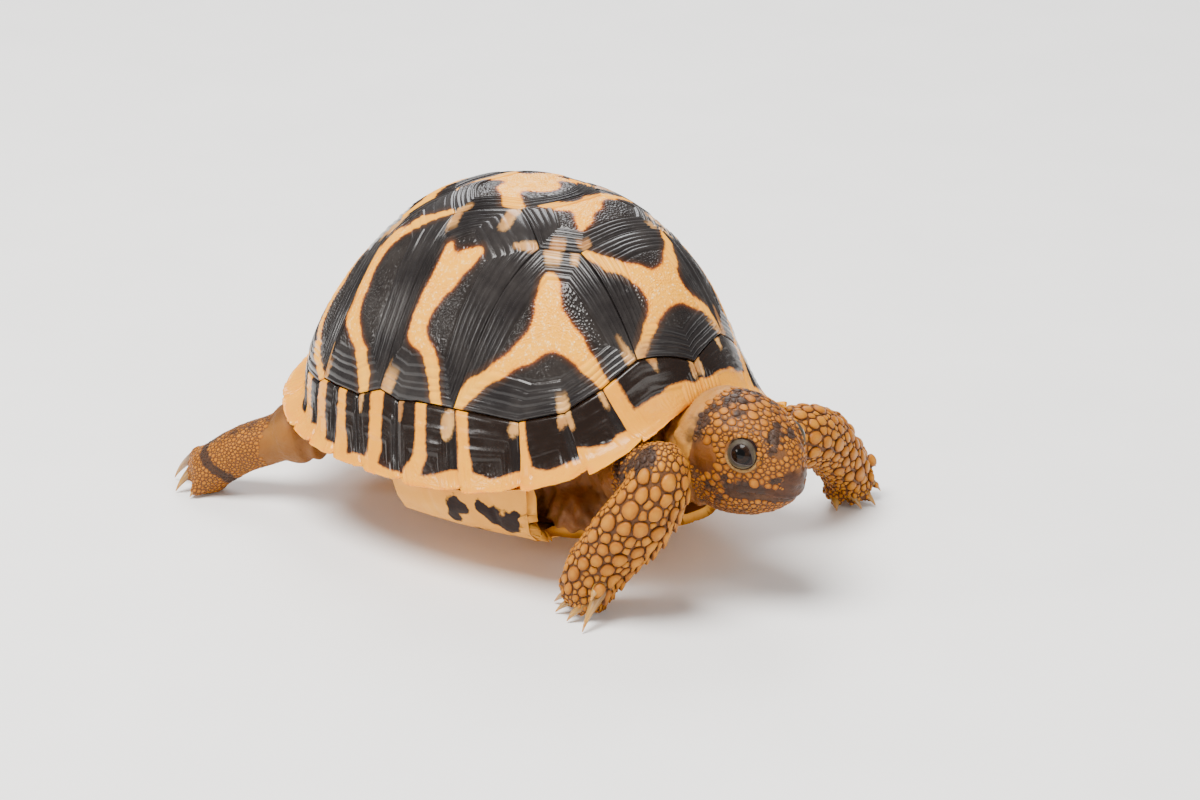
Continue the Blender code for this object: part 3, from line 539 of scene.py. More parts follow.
def add_plate(name, middle, corners, rays, late, seed, finish):
    """A horn plate with its pebbled areola, growth ridges and seams."""
    centre = to_map(middle)
    edge = outline(corners, PLATE_ROUND)
    reach = np.linalg.norm(on_shell(edge) - on_shell(centre), axis=1)
    shares = np.linspace(0, 1, PLATE_RINGS + 1)[1:]
    part = shares[:, None] * (1 - SEAM * 0.28 / reach)[None, :]
    spots = centre + (edge - centre)[None] * part[..., None]
    spots = np.concatenate([centre[None], spots.reshape(-1, 2)])
    way = np.concatenate([[0.0], np.broadcast_to(shares[:, None], part.shape).ravel()])
    base = on_shell(spots)
    out = shell_normal(spots)
    lift = BOSS * (1 - way ** 2) ** 2
    wander = (noise(base, 5.0, seed) - 0.5) * 0.035 + (noise(base, 1.5, seed + 1) - 0.5) * 0.012
    grown = np.clip((way + wander - AREOLA) / (1 - AREOLA), 0, 1)
    profile = ridge_profile(seed)
    strength = 0.55 + 0.9 * noise(base, 7.0, seed + 2)
    ridges = np.interp(grown, RIDGE_WAY, profile) * strength
    fine = np.sin(grown * 130 + noise(base, 3.0, seed + 3) * 5) * 0.006 * smoothstep(0.05, 0.2, grown)
    pebbled = 1 - smoothstep(AREOLA - 0.05, AREOLA + 0.02, way + wander)
    near, second = cells(base, GRAIN, seed)
    grain = smoothstep(0.02, 0.16, second - near)
    lift += pebbled * (0.105 * grain * (0.6 + 0.8 * noise(base, 1.2, seed + 4)) - 0.03)
    lift += (ridges + fine) * (1 - pebbled)
    lift -= 0.10 * np.exp(-((way + wander - AREOLA) / 0.02) ** 2)
    to_edge = (1 - way) * np.concatenate([[9.0], np.broadcast_to(reach[None], part.shape).ravel()])
    lift -= 0.13 * np.exp(-(to_edge / 0.18) ** 2)
    star = to_strokes(base, rays)
    patch = to_strokes(base, late) if late else np.full(len(base), 9.0)
    points = base + out * lift[:, None]
    count = PLATE_ROUND
    rows = np.arange(PLATE_RINGS - 1)[:, None] * count + 1
    here, there = np.arange(count), (np.arange(count) + 1) % count
    quads = np.stack([rows + here, rows + count + here, rows + count + there, rows + there], -1)
    tris = np.stack([np.zeros(count, int), 1 + here, 1 + there], -1)
    # The underside, from the edge back to the middle
    last = (PLATE_RINGS - 1) * count + 1
    under, previous, extra_quads = [], last, []
    start = len(points)
    for k, share in enumerate((1.0, 0.66, 0.33)):
        ring = centre + (edge - centre) * (share * (1 - SEAM * 0.28 / reach))[:, None]
        under.append(on_shell(ring) - shell_normal(ring) * PLATE)
        first = start + k * count
        extra_quads.append(np.stack([previous + here, first + here, first + there, previous + there], -1))
        previous = first
    bottom = on_shell(centre[None]) - shell_normal(centre[None]) * PLATE
    points = np.concatenate([points, *under, bottom])
    last_point = len(points) - 1
    lower = np.stack([previous + here, np.full(count, last_point), previous + there], -1)
    hidden = len(points) - len(way)
    return new_piece(name + "_horn", points, np.concatenate([quads.reshape(-1, 4), *extra_quads]),
                     np.concatenate([tris, lower]),
                     {"star": padded(star, hidden, 3.0), "patch": padded(patch, hidden, 3.0),
                      "way": padded(way, hidden, 1.0), "grain": padded(grain * pebbled, hidden)},
                     finish, [name])


def horn_finish():
    """Near-black horn with pale yellow rays, brown where the two run together."""
    finish, shader, tree = new_finish("black and yellow horn", Coat_Weight=0.04, Coat_Roughness=0.2)
    ray = soft_edge(tree, attribute(tree, "star"), 0.07)
    grown = between(tree, attribute(tree, "way"), 0.52, 0.66)
    old = ramp(tree, ray, [
        (0.0, (0.90, 0.385, 0.009)), (0.38, (0.86, 0.34, 0.006)), (0.48, (0.54, 0.16, 0.004)),
        (0.54, (0.12, 0.030, 0.006)), (0.70, (0.026, 0.011, 0.006)), (1.0, (0.012, 0.009, 0.008))])
    new = ramp(tree, ray, [
        (0.0, (0.84, 0.39, 0.025)), (0.40, (0.80, 0.34, 0.016)), (0.48, (0.40, 0.14, 0.010)),
        (0.55, (0.040, 0.018, 0.009)), (1.0, (0.011, 0.009, 0.009))])
    colour = blend(tree, grown, old, new)
    smudge = between(tree, soft_edge(tree, attribute(tree, "patch"), 0.12), 0.30, 0.62, 0.92, 0.0)
    smudge = maths(tree, "MULTIPLY", smudge, between(tree, attribute(tree, "way"), 0.70, 0.88))
    colour = blend(tree, smudge, colour, late_tint(tree))
    # Painted highlights: paler specks on the tops of some areola pebbles, in the yellow only
    lit = maths(tree, "MULTIPLY", attribute(tree, "grain"), between(tree, ray, 0.5, 0.3))
    lit = maths(tree, "MULTIPLY", lit, between(tree, speckle(tree, 1500, 2.0), 0.5, 0.62, 0, 0.75))
    colour = blend(tree, lit, colour, (1.0, 0.68, 0.26))
    bloom = between(tree, speckle(tree, 140, 5.0), 0.35, 0.75, 0.0, 0.04)
    colour = blend(tree, bloom, colour, (0.45, 0.40, 0.36))
    tree.links.new(colour, shader.inputs["Base Color"])
    tree.links.new(between(tree, speckle(tree, 420, 4.0), 0.3, 0.7, 0.12, 0.24), shader.inputs["Roughness"])
    tree.links.new(between(tree, ray, 0.44, 0.57, 0.12, 0.28), shader.inputs["Specular IOR Level"])
    bump(tree, shader, speckle(tree, 2600, 4.0), 0.08, 0.0002)
    return finish


def mirror_strokes(strokes):
    return [[(-bearing, rise, width) for bearing, rise, width in stroke] for stroke in strokes]


def add_carapace():
    finish = horn_finish()
    for k, (middle, corners) in enumerate(VERTEBRALS):
        name = f"vertebral_{k + 1}"
        add_plate(name, middle, corners + mirrored(corners), RAYS[name], LATE_RAYS.get(name), 100 + k, finish)
    for k, (middle, corners) in enumerate(COSTALS):
        rays, late = RAYS[f"costal_{k + 1}"], LATE_RAYS[f"costal_{k + 1}"]
        add_plate(f"costal_right_{k + 1}", (-middle[0], middle[1]),
                  [(-bearing, rise) for bearing, rise in reversed(corners)], rays, late, 120 + k, finish)
        add_plate(f"costal_left_{k + 1}", middle, corners,
                  mirror_strokes(rays), mirror_strokes(late), 140 + k, finish)


# Marginals: the band of plates round the rim

# Yellow strokes of each marginal from the head back: (way from its front seam to its rear one,
# height from the rim, 0, to its top seam, 1, half width in mm)
RIM_RAYS = [
    [[(0, 0.0, 1.6), (0.5, 0.03, 1.9), (1, 0.05, 2.3)],
     [(0.93, 0.95, 0.9), (0.93, 0.5, 1.1), (0.9, 0.2, 2.2)]],
    [[(0, 0.02, 1.7), (0.5, 0.02, 2.4), (0.85, 0.06, 3.0), (1, 0.05, 2.6)]],
    [[(0, 0.0, 1.7), (0.5, 0.0, 2.0), (1, 0.02, 2.4)],
     [(0.93, 1.0, 0.7), (0.91, 0.6, 0.75), (0.92, 0.2, 1.4)]],
    [[(0, 0.0, 1.7), (0.5, 0.0, 1.5), (1, 0.0, 2.0)],
     [(0.86, 1.0, 0.9), (0.86, 0.6, 0.85), (0.85, 0.22, 1.8)]],
    [[(0, 0.0, 1.3), (1, 0.0, 1.5)],
     [(0.55, 1.0, 1.0), (0.58, 0.65, 0.85), (0.75, 0.38, 1.3), (0.82, 0.1, 1.9)]],
    [[(0, 0.0, 0.9), (1, 0.0, 1.5)],
     [(0.52, 1.0, 1.2), (0.58, 0.6, 1.0), (0.74, 0.3, 1.2), (0.8, 0.05, 1.9)]],
    [[(0, 0.0, 1.1), (1, 0.0, 1.6)], [(0.62, 1.0, 1.0), (0.68, 0.5, 1.2), (0.8, 0.1, 2.0)]],
    [[(0, 0.0, 1.5), (1, 0.0, 2.0)], [(0.68, 1.0, 1.2), (0.7, 0.5, 1.4), (0.7, 0.1, 2.2)]],
    [[(0, 0.0, 1.8), (1, 0.0, 2.2)], [(0.68, 1.0, 1.4), (0.7, 0.5, 1.6), (0.7, 0.1, 2.4)]],
    [[(0, 0.0, 2.0), (1, 0.0, 2.2)], [(0.66, 1.0, 2.0), (0.68, 0.5, 2.2), (0.7, 0.1, 2.8)]],
    [[(0, 0.0, 2.0), (1, 0.0, 2.0)], [(0.64, 1.0, 2.0), (0.66, 0.5, 2.2), (0.68, 0.1, 2.6)]],
    [[(0.5, 0.0, 2.0), (1, 0.0, 2.0)], [(0.5, 1.0, 1.4), (0.5, 0.5, 1.5), (0.5, 0.1, 2.2)],
     [(0, 0.0, 2.0), (0.5, 0.0, 2.0)]],
]
RIM_LATE = [
    [[(0.03, 0.98, 0.9), (0.07, 0.84, 0.4)], [(0.5, 1.0, 0.6), (0.5, 0.93, 0.3)]],
    [[(0.95, 0.99, 0.7), (0.92, 0.88, 0.5)], [(0.05, 0.98, 0.6), (0.08, 0.88, 0.4)]],
    [[(0.04, 0.98, 0.7), (0.14, 0.92, 0.5)]],
    [[(0.03, 0.97, 0.6), (0.10, 0.93, 0.5)]],
    [[(0.02, 0.96, 0.6), (0.12, 0.88, 0.7), (0.16, 0.82, 0.3)], [(0.93, 0.98, 0.6), (0.95, 0.90, 0.4)]],
    [[(0.90, 0.98, 0.5), (0.92, 0.90, 0.3)]], [], [], [], [], [], [],
]
# Height in mm of the yellow border under the dark bands: (at the front seam, the middle, the rear seam)
RIM_BORDER = [(2.9, 3.8, 4.4), (3.0, 3.4, 5.0), (3.6, 2.9, 3.4), (2.8, 2.0, 2.8), (3.0, 1.6, 1.3),
              (1.2, 1.3, 2.6), (2.0, 1.3, 2.4), (2.2, 1.8, 2.5), (3.2, 2.8, 3.2), (3.2, 3.0, 3.4),
              (3.4, 3.2, 3.4), (3.4, 3.2, 3.4)]
RIM_ROWS, LIP_ROWS, INNER_ROWS = 46, 7, 7
RIM_STEPS = 34                      # columns between two corners of the seam over the marginals
BULGE = 0.45                        # each marginal's lower edge bows down by this much


def rim_bearing(bearing):
    return np.interp(bearing, [corner[0] for corner in TOP_SEAM], RIM_SEAM)


def rim_columns(corners, side):
    """The top and foot of each column, the marginal it belongs to and its way along that."""
    tops, feet, which, along = [], [], [], []
    seams = [corner[0] for corner in TOP_SEAM]
    for corner, following in zip(corners, corners[1:]):
        count = max(8, int(RIM_STEPS * abs(following[0] - corner[0]) / 11))
        last = following is corners[-1]
        share = np.arange(count + last) / count
        bearing = corner[0] + share * (following[0] - corner[0])
        top = to_map(corner) + share[:, None] * (to_map(following) - to_map(corner))
        foot = np.array([to_map((value, 0.0)) for value in rim_bearing(bearing)])
        number = min(np.searchsorted(seams, (corner[0] + following[0]) / 2) - 1, 11)
        tops.append(top * (1, side))
        feet.append(foot * (1, side))
        which.append(np.full(len(share), number))
        along.append((bearing - seams[number]) / (seams[number + 1] - seams[number]))
    return [np.concatenate(rows) for rows in (tops, feet, which, along)]


def flat_strokes(points, strokes, reach):
    """Signed distance, in mm, from points (way, height) on a marginal to its strokes."""
    softness = 0.4
    total = np.zeros(points.shape[:-1])
    for stroke in strokes:
        for start, end in zip(stroke, stroke[1:]):
            one = np.array(start[:2]) * reach
            line = np.array(end[:2]) * reach - one
            away = points * reach - one
            share = np.clip((away * line).sum(-1) / np.maximum((line * line).sum(-1), 1e-9), 0, 1)
            gap = np.linalg.norm(away - share[..., None] * line, axis=-1)
            total += np.exp(-np.clip(gap - start[2] - share * (end[2] - start[2]), -4, 12) / softness)
    return -softness * np.log(total + 1e-9)


def rim_marks(wall, which, along, height, width, seed):
    """Signed distances, in mm, to the yellow and to the late markings."""
    tall = np.linalg.norm(wall[0] - wall[-1], axis=1)
    where = np.stack(np.broadcast_arrays(along[None], height[:, None]), -1)
    reach = np.stack([width, tall], -1)[None]
    star = np.zeros(where.shape[:2])
    patch = np.full(where.shape[:2], 9.0)
    for number in range(12):
        mine = which == number
        if mine.any():
            star[:, mine] = flat_strokes(where[:, mine], RIM_RAYS[number], reach[:, mine])
            if RIM_LATE[number]:
                patch[:, mine] = flat_strokes(where[:, mine], RIM_LATE[number], reach[:, mine])
    low = np.array(RIM_BORDER)[which]
    border = np.where(along < 0.5, low[:, 0] + (low[:, 1] - low[:, 0]) * smoothstep(0, 0.5, along),
                      low[:, 1] + (low[:, 2] - low[:, 1]) * smoothstep(0.5, 1, along))
    border = border + (noise(np.stack([along * width, which * 5.0, along * 0], 1), 1.5, seed) - 0.5) * 0.8
    climb = np.cumsum(np.linalg.norm(np.diff(wall[::-1], axis=0, prepend=wall[-1:]), axis=-1), axis=0)[::-1]
    return np.minimum(star, climb - border[None]), patch


def rim_lip(foot, level_out):
    """Rows under the lower edge, turned in."""
    lip = []
    for k in range(1, LIP_ROWS + 1):
        turn = k / LIP_ROWS * math.pi / 2
        lip.append(foot - level_out * (RIM_LIP * (1 - math.cos(turn)))
                   - np.array((0, 0, 0.42)) * math.sin(turn * 2) * 0.5
                   - np.array((0, 0, 0.10)) * math.sin(turn))
    return np.array(lip)


def rim_inside(tops, feet, level_out, first):
    """Rows up the inner side of the wall."""
    inner = []
    for value in np.linspace(0.9, first, INNER_ROWS):
        spot = tops + (feet - tops) * value
        deep = RIM_WALL if value > 0.35 else PLATE + (RIM_WALL - PLATE) * value / 0.35
        way = level_out if value > 0.35 else unit(level_out + shell_normal(spot) * (0.35 - value) * 6)
        inner.append(on_shell(spot) - way * deep)
    return np.array(inner)


def add_rim(name, tops, feet, which, along, seed, finish):
    columns = len(tops)
    height = 1 - np.linspace(0, 1, RIM_ROWS)
    share = 1 - height
    start = SEAM * 0.5 / np.linalg.norm(on_shell(feet) - on_shell(tops), axis=1)
    share = start[None] + share[:, None] * (1 - start[None])
    spots = tops[None] + (feet - tops)[None] * share[..., None]
    wall = on_shell(spots)
    out = shell_normal(np.minimum(share, 0.97)[..., None] * (feet - tops)[None] + tops[None])
    level_out = rim_way_out(np.arctan2(feet[:, 1], feet[:, 0]))
    near_rim = smoothstep(0.72, 0.95, share)[..., None]
    out = unit(out * (1 - near_rim) + level_out[None] * near_rim)
    steps = np.linalg.norm(np.diff(wall[RIM_ROWS // 2], axis=0, append=wall[RIM_ROWS // 2][-1:]), axis=1)
    width = np.array([steps[which == number].sum() for number in range(12)])[which]
    to_seam = np.minimum(along, 1 - along) * width
    to_top = (1 - height[:, None]) * np.linalg.norm(wall[0] - wall[-1], axis=1)[None]
    star, patch = rim_marks(wall, which, along, height, width, seed)
    centre_way, centre_height = 0.6, 0.3
    sideways = np.where(along < centre_way, (centre_way - along) / centre_way,
                        (along - centre_way) / (1 - centre_way))
    way = np.maximum(sideways[None], (height[:, None] - centre_height) / (1 - centre_height))
    flat = wall.reshape(-1, 3)
    rippled = way + (noise(flat, 2.5, seed).reshape(way.shape) - 0.5) * 0.05
    grown = np.clip((rippled - 0.5) / 0.5, 0, 1)
    lift = np.interp(grown, RIDGE_WAY, ridge_profile(seed + which[0])) * 0.75
    near, second = cells(flat, GRAIN * 0.9, seed)
    grain = smoothstep(0.02, 0.15, second - near).reshape(way.shape)
    pebbled = (1 - smoothstep(0.42, 0.52, rippled)) * smoothstep(0.12, 0.25, height)[:, None]
    lift += pebbled * (0.06 * grain - 0.02)
    lift += 0.16 * np.sin(np.clip(along, 0, 1) * math.pi)[None] * (1 - height[:, None] * 0.7)
    lift -= 0.26 * np.exp(-(to_seam / 0.22) ** 2)[None]
    lift -= 0.13 * np.exp(-(to_top / 0.18) ** 2)
    wall = wall + out * lift[..., None]
    bow = BULGE * (np.abs(np.sin(np.clip(along, 0, 1) * math.pi)) ** 0.6) - 0.25
    bow = bow + (0.55 * smoothstep(0.5, 1.0, along) - 0.2 * smoothstep(0.3, 0.0, along)) * np.interp(
        which, (0, 4, 8, 11), (1.0, 0.8, 0.35, 0.2))
    nick = (noise(feet * 60 @ np.eye(2, 3) + seed, 1.0, seed) - 0.5) * 0.16
    wall[..., 2] -= (bow + nick)[None] * smoothstep(0.25, 0.0, height)[:, None]
    rows = np.concatenate([wall, rim_lip(wall[-1], level_out),
                           rim_inside(tops, feet, level_out, start.mean() + 0.02)])
    for end, beside in ((0, 1), (-1, -2)):       # drawn in for the seams to the neighbours
        rows[:, end] += unit(rows[:, beside] - rows[:, end]) * SEAM * 0.6
    count = len(rows)
    index = np.arange(count * columns).reshape(count, columns)
    down = np.roll(index, -1, axis=0)
    quads = np.stack([index[:, :-1], down[:, :-1], down[:, 1:], index[:, 1:]], -1).reshape(-1, 4)
    points = rows.reshape(-1, 3)
    caps = []
    for end in (0, -1):
        middle = len(points)
        points = np.concatenate([points, rows[:, end].mean(0, keepdims=True)])
        ring = index[:, end]
        after = np.roll(ring, -1)
        tri = np.stack([ring, after, np.full(count, middle)], -1)
        caps.append(tri[:, ::-1] if end == 0 else tri)
    if np.sign(np.cross(feet[0], feet[-1])) < 0:
        quads, caps = quads[:, ::-1], [tri[:, ::-1] for tri in caps]
    hidden = len(points) - wall.shape[0] * columns
    return new_piece(name + "_horn", points, quads, np.concatenate(caps),
                     {"star": padded(star, hidden, -1.0), "patch": padded(patch, hidden, 9.0),
                      "way": padded(way, hidden), "grain": padded(grain * pebbled, hidden),
                      "rise": padded(np.broadcast_to(height[:, None], way.shape), hidden),
                      "strip": padded(np.broadcast_to(along * width, way.shape), hidden, 9.0)},
                     finish, [name])


def rim_finish():
    """Yellow horn with brown-black bands, clear and glossy along the lower edge."""
    finish, shader, tree = new_finish("banded rim horn", Subsurface_Weight=0.12,
                                      Subsurface_Radius=(1.0, 0.5, 0.2), Subsurface_Scale=0.0012,
                                      Coat_Weight=0.05, Coat_Roughness=0.15)
    ray = soft_edge(tree, attribute(tree, "star"), 0.07)
    rise = attribute(tree, "rise")
    dark = blend(tree, between(tree, rise, 0.22, 0.55), (0.038, 0.010, 0.003), (0.010, 0.005, 0.003))
    strip = between(tree, attribute(tree, "strip"), 0.9, 1.5, 1.0, 0.0)
    dark = blend(tree, strip, dark, (0.010, 0.007, 0.006))
    yellow = ramp(tree, speckle(tree, 180, 4.0), [(0.3, (0.72, 0.275, 0.007)), (0.7, (0.82, 0.345, 0.013))])
    lower = blend(tree, between(tree, speckle(tree, 300, 3.0), 0.4, 0.65), (0.84, 0.34, 0.008),
                  (0.80, 0.27, 0.010))
    yellow = blend(tree, between(tree, rise, 0.02, 0.22, 1.0, 0.0), yellow, lower)
    fringe = ramp(tree, ray, [(0.40, (0, 0, 0)), (0.50, (1, 1, 1)), (0.62, (0, 0, 0))])
    colour = blend(tree, between(tree, ray, 0.44, 0.57), yellow, dark)
    colour = blend(tree, maths(tree, "MULTIPLY", fringe, 0.7), colour, (0.40, 0.13, 0.02))
    late = soft_edge(tree, attribute(tree, "patch"), 0.12)
    colour = blend(tree, between(tree, late, 0.36, 0.62, 0.92, 0.0), colour, late_tint(tree))
    tree.links.new(colour, shader.inputs["Base Color"])
    tree.links.new(between(tree, speckle(tree, 420, 4.0), 0.3, 0.7, 0.15, 0.30), shader.inputs["Roughness"])
    tree.links.new(between(tree, ray, 0.44, 0.57, 0.20, 0.28), shader.inputs["Specular IOR Level"])
    bump(tree, shader, speckle(tree, 2200, 4.0), 0.08, 0.0002)
    return finish


def add_marginals():
    finish = rim_finish()
    seam = sorted(TOP_SEAM[:12] + [V1_C1_RIM, C2_C3_RIM, C3_C4_RIM])
    for side, word in ((1, "left"), (-1, "right")):
        add_rim(f"marginals_{word}", *rim_columns(seam, side), 40 + side, finish)
    tops, feet, _, along = rim_columns(TOP_SEAM[11:], 1)
    back = slice(-2, None, -1)
    add_rim("supracaudal", np.concatenate([tops, tops[back] * (1, -1)]),
            np.concatenate([feet, feet[back] * (1, -1)]), np.full(2 * len(tops) - 1, 11),
            np.concatenate([along / 2, 1 - along[back] / 2]), 47, finish)


# Plastron

LOBES = [(36.3, 4.2, 8.6), (34.0, 8.0, 7.7), (30.0, 12.6, 6.5), (26.8, 14.8, 6.1), (24.0, 16.2, 6.0),
         (-2.0, 17.6, 6.0), (-8.0, 16.4, 6.0), (-14.0, 15.4, 6.0), (-22.0, 14.0, 6.1), (-27.0, 11.5, 6.4),
         (-31.0, 7.5, 7.1)]
LOBE_SPREAD = np.array((0, 0.35, 0.62, 0.8, 0.9, 0.96, 1.0))
BRIDGE_NOTCH = (0.965, 0.91, 0.82, 0.74)
BRIDGE_FRONT, BRIDGE_REAR, BRIDGE_LEAN, BRIDGE_IN, BRIDGE_UNDER = 21.0, 3.0, 5.0, 1.1, 0.55
BRIDGE_CURVE = np.array([(0, 0), (0.4, 0), (0.68, 0), (0.82, 0.1), (0.91, 0.28), (0.965, 0.6), (1, 1)])
# Dark blotches of the bridges: (x, y, z, size)
BRIDGE_PATCHES = [(21.6, 22.7, 10.0, 2.1), (19.7, 23.4, 11.0, 1.7), (18.0, 24.2, 12.1, 1.4),
                  (23.4, 23.0, 11.8, 0.9), (14.2, 25.5, 11.6, 1.7), (12.6, 24.4, 9.6, 1.3)]
BELLY_LEVEL, BELLY_THICK, LOBE_CURL = 6.0, 1.4, 1.2
BELLY_SEAMS = (28.5, 20.5, 9.5, -9.0, -18.5, -26.0)      # across the plastron, from the throat back


def rim_at(x):
    low, high = 0.0, math.pi
    for _ in range(40):
        middle = (low + high) / 2
        if shell_point(np.array(middle), np.array(0.0))[0] > x:
            low = middle
        else:
            high = middle
    return shell_point(np.array(low), np.array(0.0))


def belly_rows():
    rows = [(x, x + LOBE_SPREAD * 0, wide * LOBE_SPREAD, high + LOBE_CURL * LOBE_SPREAD ** 5)
            for x, wide, high in LOBES]
    for share in np.linspace(0, 1, 6):
        x = BRIDGE_FRONT + (BRIDGE_REAR - BRIDGE_FRONT) * share
        lean = BRIDGE_LEAN * (1 - share) ** 2
        rim = rim_at(x + lean)
        for step, part in enumerate((1.0,) + (BRIDGE_NOTCH if share == 0 else ())):
            out = BRIDGE_CURVE[:, 0] * part
            up = np.interp(out, BRIDGE_CURVE[:, 0], BRIDGE_CURVE[:, 1])
            start = x + step * 0.2
            rows.append((start, start + lean * up ** 0.4, (rim[1] - BRIDGE_IN) * out,
                         BELLY_LEVEL + (rim[2] - BRIDGE_UNDER - BELLY_LEVEL) * up))
    return sorted(rows, key=lambda row: -row[0])


def belly_finish():
    finish, shader, tree = new_finish("belly horn", Specular_IOR_Level=0.1)
    share = maths(tree, "ADD", attribute(tree, "blotch"),
                  between(tree, speckle(tree, 500, 4.0), 0.3, 0.7, -0.04, 0.04))
    tint = ramp(tree, speckle(tree, 120, 4.0), [(0.3, (0.62, 0.25, 0.025)), (0.7, (0.74, 0.34, 0.050))])
    colour = blend(tree, between(tree, share, -0.02, 0.03, 1.0, 0.0), tint, (0.010, 0.003, 0.002))
    tree.links.new(colour, shader.inputs["Base Color"])
    tree.links.new(between(tree, speckle(tree, 300, 3.0), 0.3, 0.7, 0.35, 0.52), shader.inputs["Roughness"])
    bump(tree, shader, speckle(tree, 1800, 4.0), 0.2, 0.0002)
    return finish


def add_plastron():
    rows = belly_rows()
    xs = np.array([row[0] for row in rows])
    along = np.sort(np.concatenate([np.linspace(xs[0], xs[-1], 236), np.linspace(21.85, 20.95, 16)]))[::-1]
    spread = np.linspace(0, 1, 81)
    tight = np.linspace(0, 1, len(LOBE_SPREAD))
    grid = np.zeros((len(along), len(spread), 3))
    for column in range(3):
        fine = np.array([np.interp(spread, tight, row[1 + column]) for row in rows])
        for k in range(len(spread)):
            grid[:, k, column] = np.interp(along, xs[::-1], fine[::-1, k])
    for _ in range(6):                             # rounds the corners along the sheet a little
        grid[:, 1:-1] = grid[:, 1:-1] * 0.5 + (grid[:, 2:] + grid[:, :-2]) * 0.25
    sheet = np.concatenate([grid[:, :0:-1] * (1, -1, 1), grid], 1)
    count, wide = sheet.shape[:2]
    flat = sheet.reshape(-1, 3)
    ends = np.gradient(sheet, axis=0)
    sides = np.gradient(sheet, axis=1)
    up = unit(np.cross(ends, sides)).reshape(-1, 3)
    up = np.where(up[:, 2:] < 0, -up, up)
    wander = (noise(flat, 4.0, 3) - 0.5) * 1.4
    across = np.abs(flat[:, 1] + (noise(flat, 3.0, 4) - 0.5) * 0.8)
    to_seam = np.min([np.abs(flat[:, 0] + wander - seam) for seam in BELLY_SEAMS], axis=0)
    to_seam = np.minimum(to_seam, across)
    lift = -0.22 * np.exp(-(to_seam / 0.25) ** 2)
    rings = np.sin(np.clip(to_seam, 0, 5) * 9 + noise(flat, 2.0, 5) * 2) * 0.035 * np.exp(-to_seam / 2.2)
    lift += rings + (noise(flat, 0.8, 6) - 0.5) * 0.04
    edges = np.array((37.5,) + BELLY_SEAMS + (-33.0,))
    number = np.clip(np.searchsorted(-edges, -(flat[:, 0] + wander)) - 1, 0, len(edges) - 2)
    share = (edges[number] - flat[:, 0] - wander) / (edges[number] - edges[number + 1])
    limit = np.repeat(grid[:, -1, 1], wide)
    out = across / np.maximum(limit, 1)
    blotch = 0.30 + 0.16 * np.abs(share - 0.55) * 4 - out * 0.35 - (noise(flat, 2.2, 8) - 0.5) * 0.30
    blotch = np.where((out > 0.88) | (number == 0), blotch + 0.25 * smoothstep(0.86, 0.97, out) + 0.1, blotch)
    for x, y, z, size in BRIDGE_PATCHES:
        away = np.linalg.norm(flat * (1, 0, 1) + np.abs(flat) * (0, 1, 0) - np.array((x, y, z)), axis=1)
        blotch = np.minimum(blotch, (away / size - 1) * 0.2 + (noise(flat, 1.4, 9) - 0.5) * 0.14)
    lower = flat - up * lift[:, None]
    upper = flat + up * BELLY_THICK
    index = np.arange(count * wide).reshape(count, wide)
    quads = np.stack([index[:-1, :-1], index[1:, :-1], index[1:, 1:], index[:-1, 1:]], -1).reshape(-1, 4)
    more = quads[:, ::-1] + count * wide
    border = np.concatenate([index[0], index[1:, -1], index[-1, -2::-1], index[-2:0:-1, 0]])
    after = np.roll(border, -1)
    side = np.stack([border, after, after + count * wide, border + count * wide], -1)
    new_piece("plastron_horn", np.concatenate([lower, upper]), np.concatenate([quads, more, side[:, ::-1]]),
              (), {"blotch": np.tile(blotch, 2)}, belly_finish(), ["plastron"])


# Skin: one surface over neck, head, limbs, tail and trunk

COAT = 0.38                        # depth of the scales over the skin, in mm
SKIN_GRAIN = 0.00048               # size of the skin's faces, in metres
NECK = [(28.5, 18.4, 7.0, 7.2), (33.0, 19.0, 7.2, 7.8), (37.0, 19.6, 7.6, 7.8), (40.2, 20.6, 7.3, 7.6)]
HEAD = [(40.6, 29.0, 13.0, 7.0, 2.2), (42.6, 30.2, 12.4, 7.3, 2.2), (45.4, 30.2, 12.6, 7.3, 2.3),
        (48.2, 29.3, 13.2, 6.8, 2.4), (50.6, 28.0, 14.0, 5.9, 2.5), (52.8, 26.6, 15.2, 4.6, 2.4),
        (54.5, 25.1, 16.5, 3.3, 2.2), (55.6, 23.7, 18.0, 2.0, 2.0), (56.1, 22.6, 19.6, 1.0, 2.0)]
EYE = np.array((49.6, 3.8, 23.6))
EYE_OUT = np.array((0.41, 0.87, 0.285)) / np.linalg.norm((0.41, 0.87, 0.285))
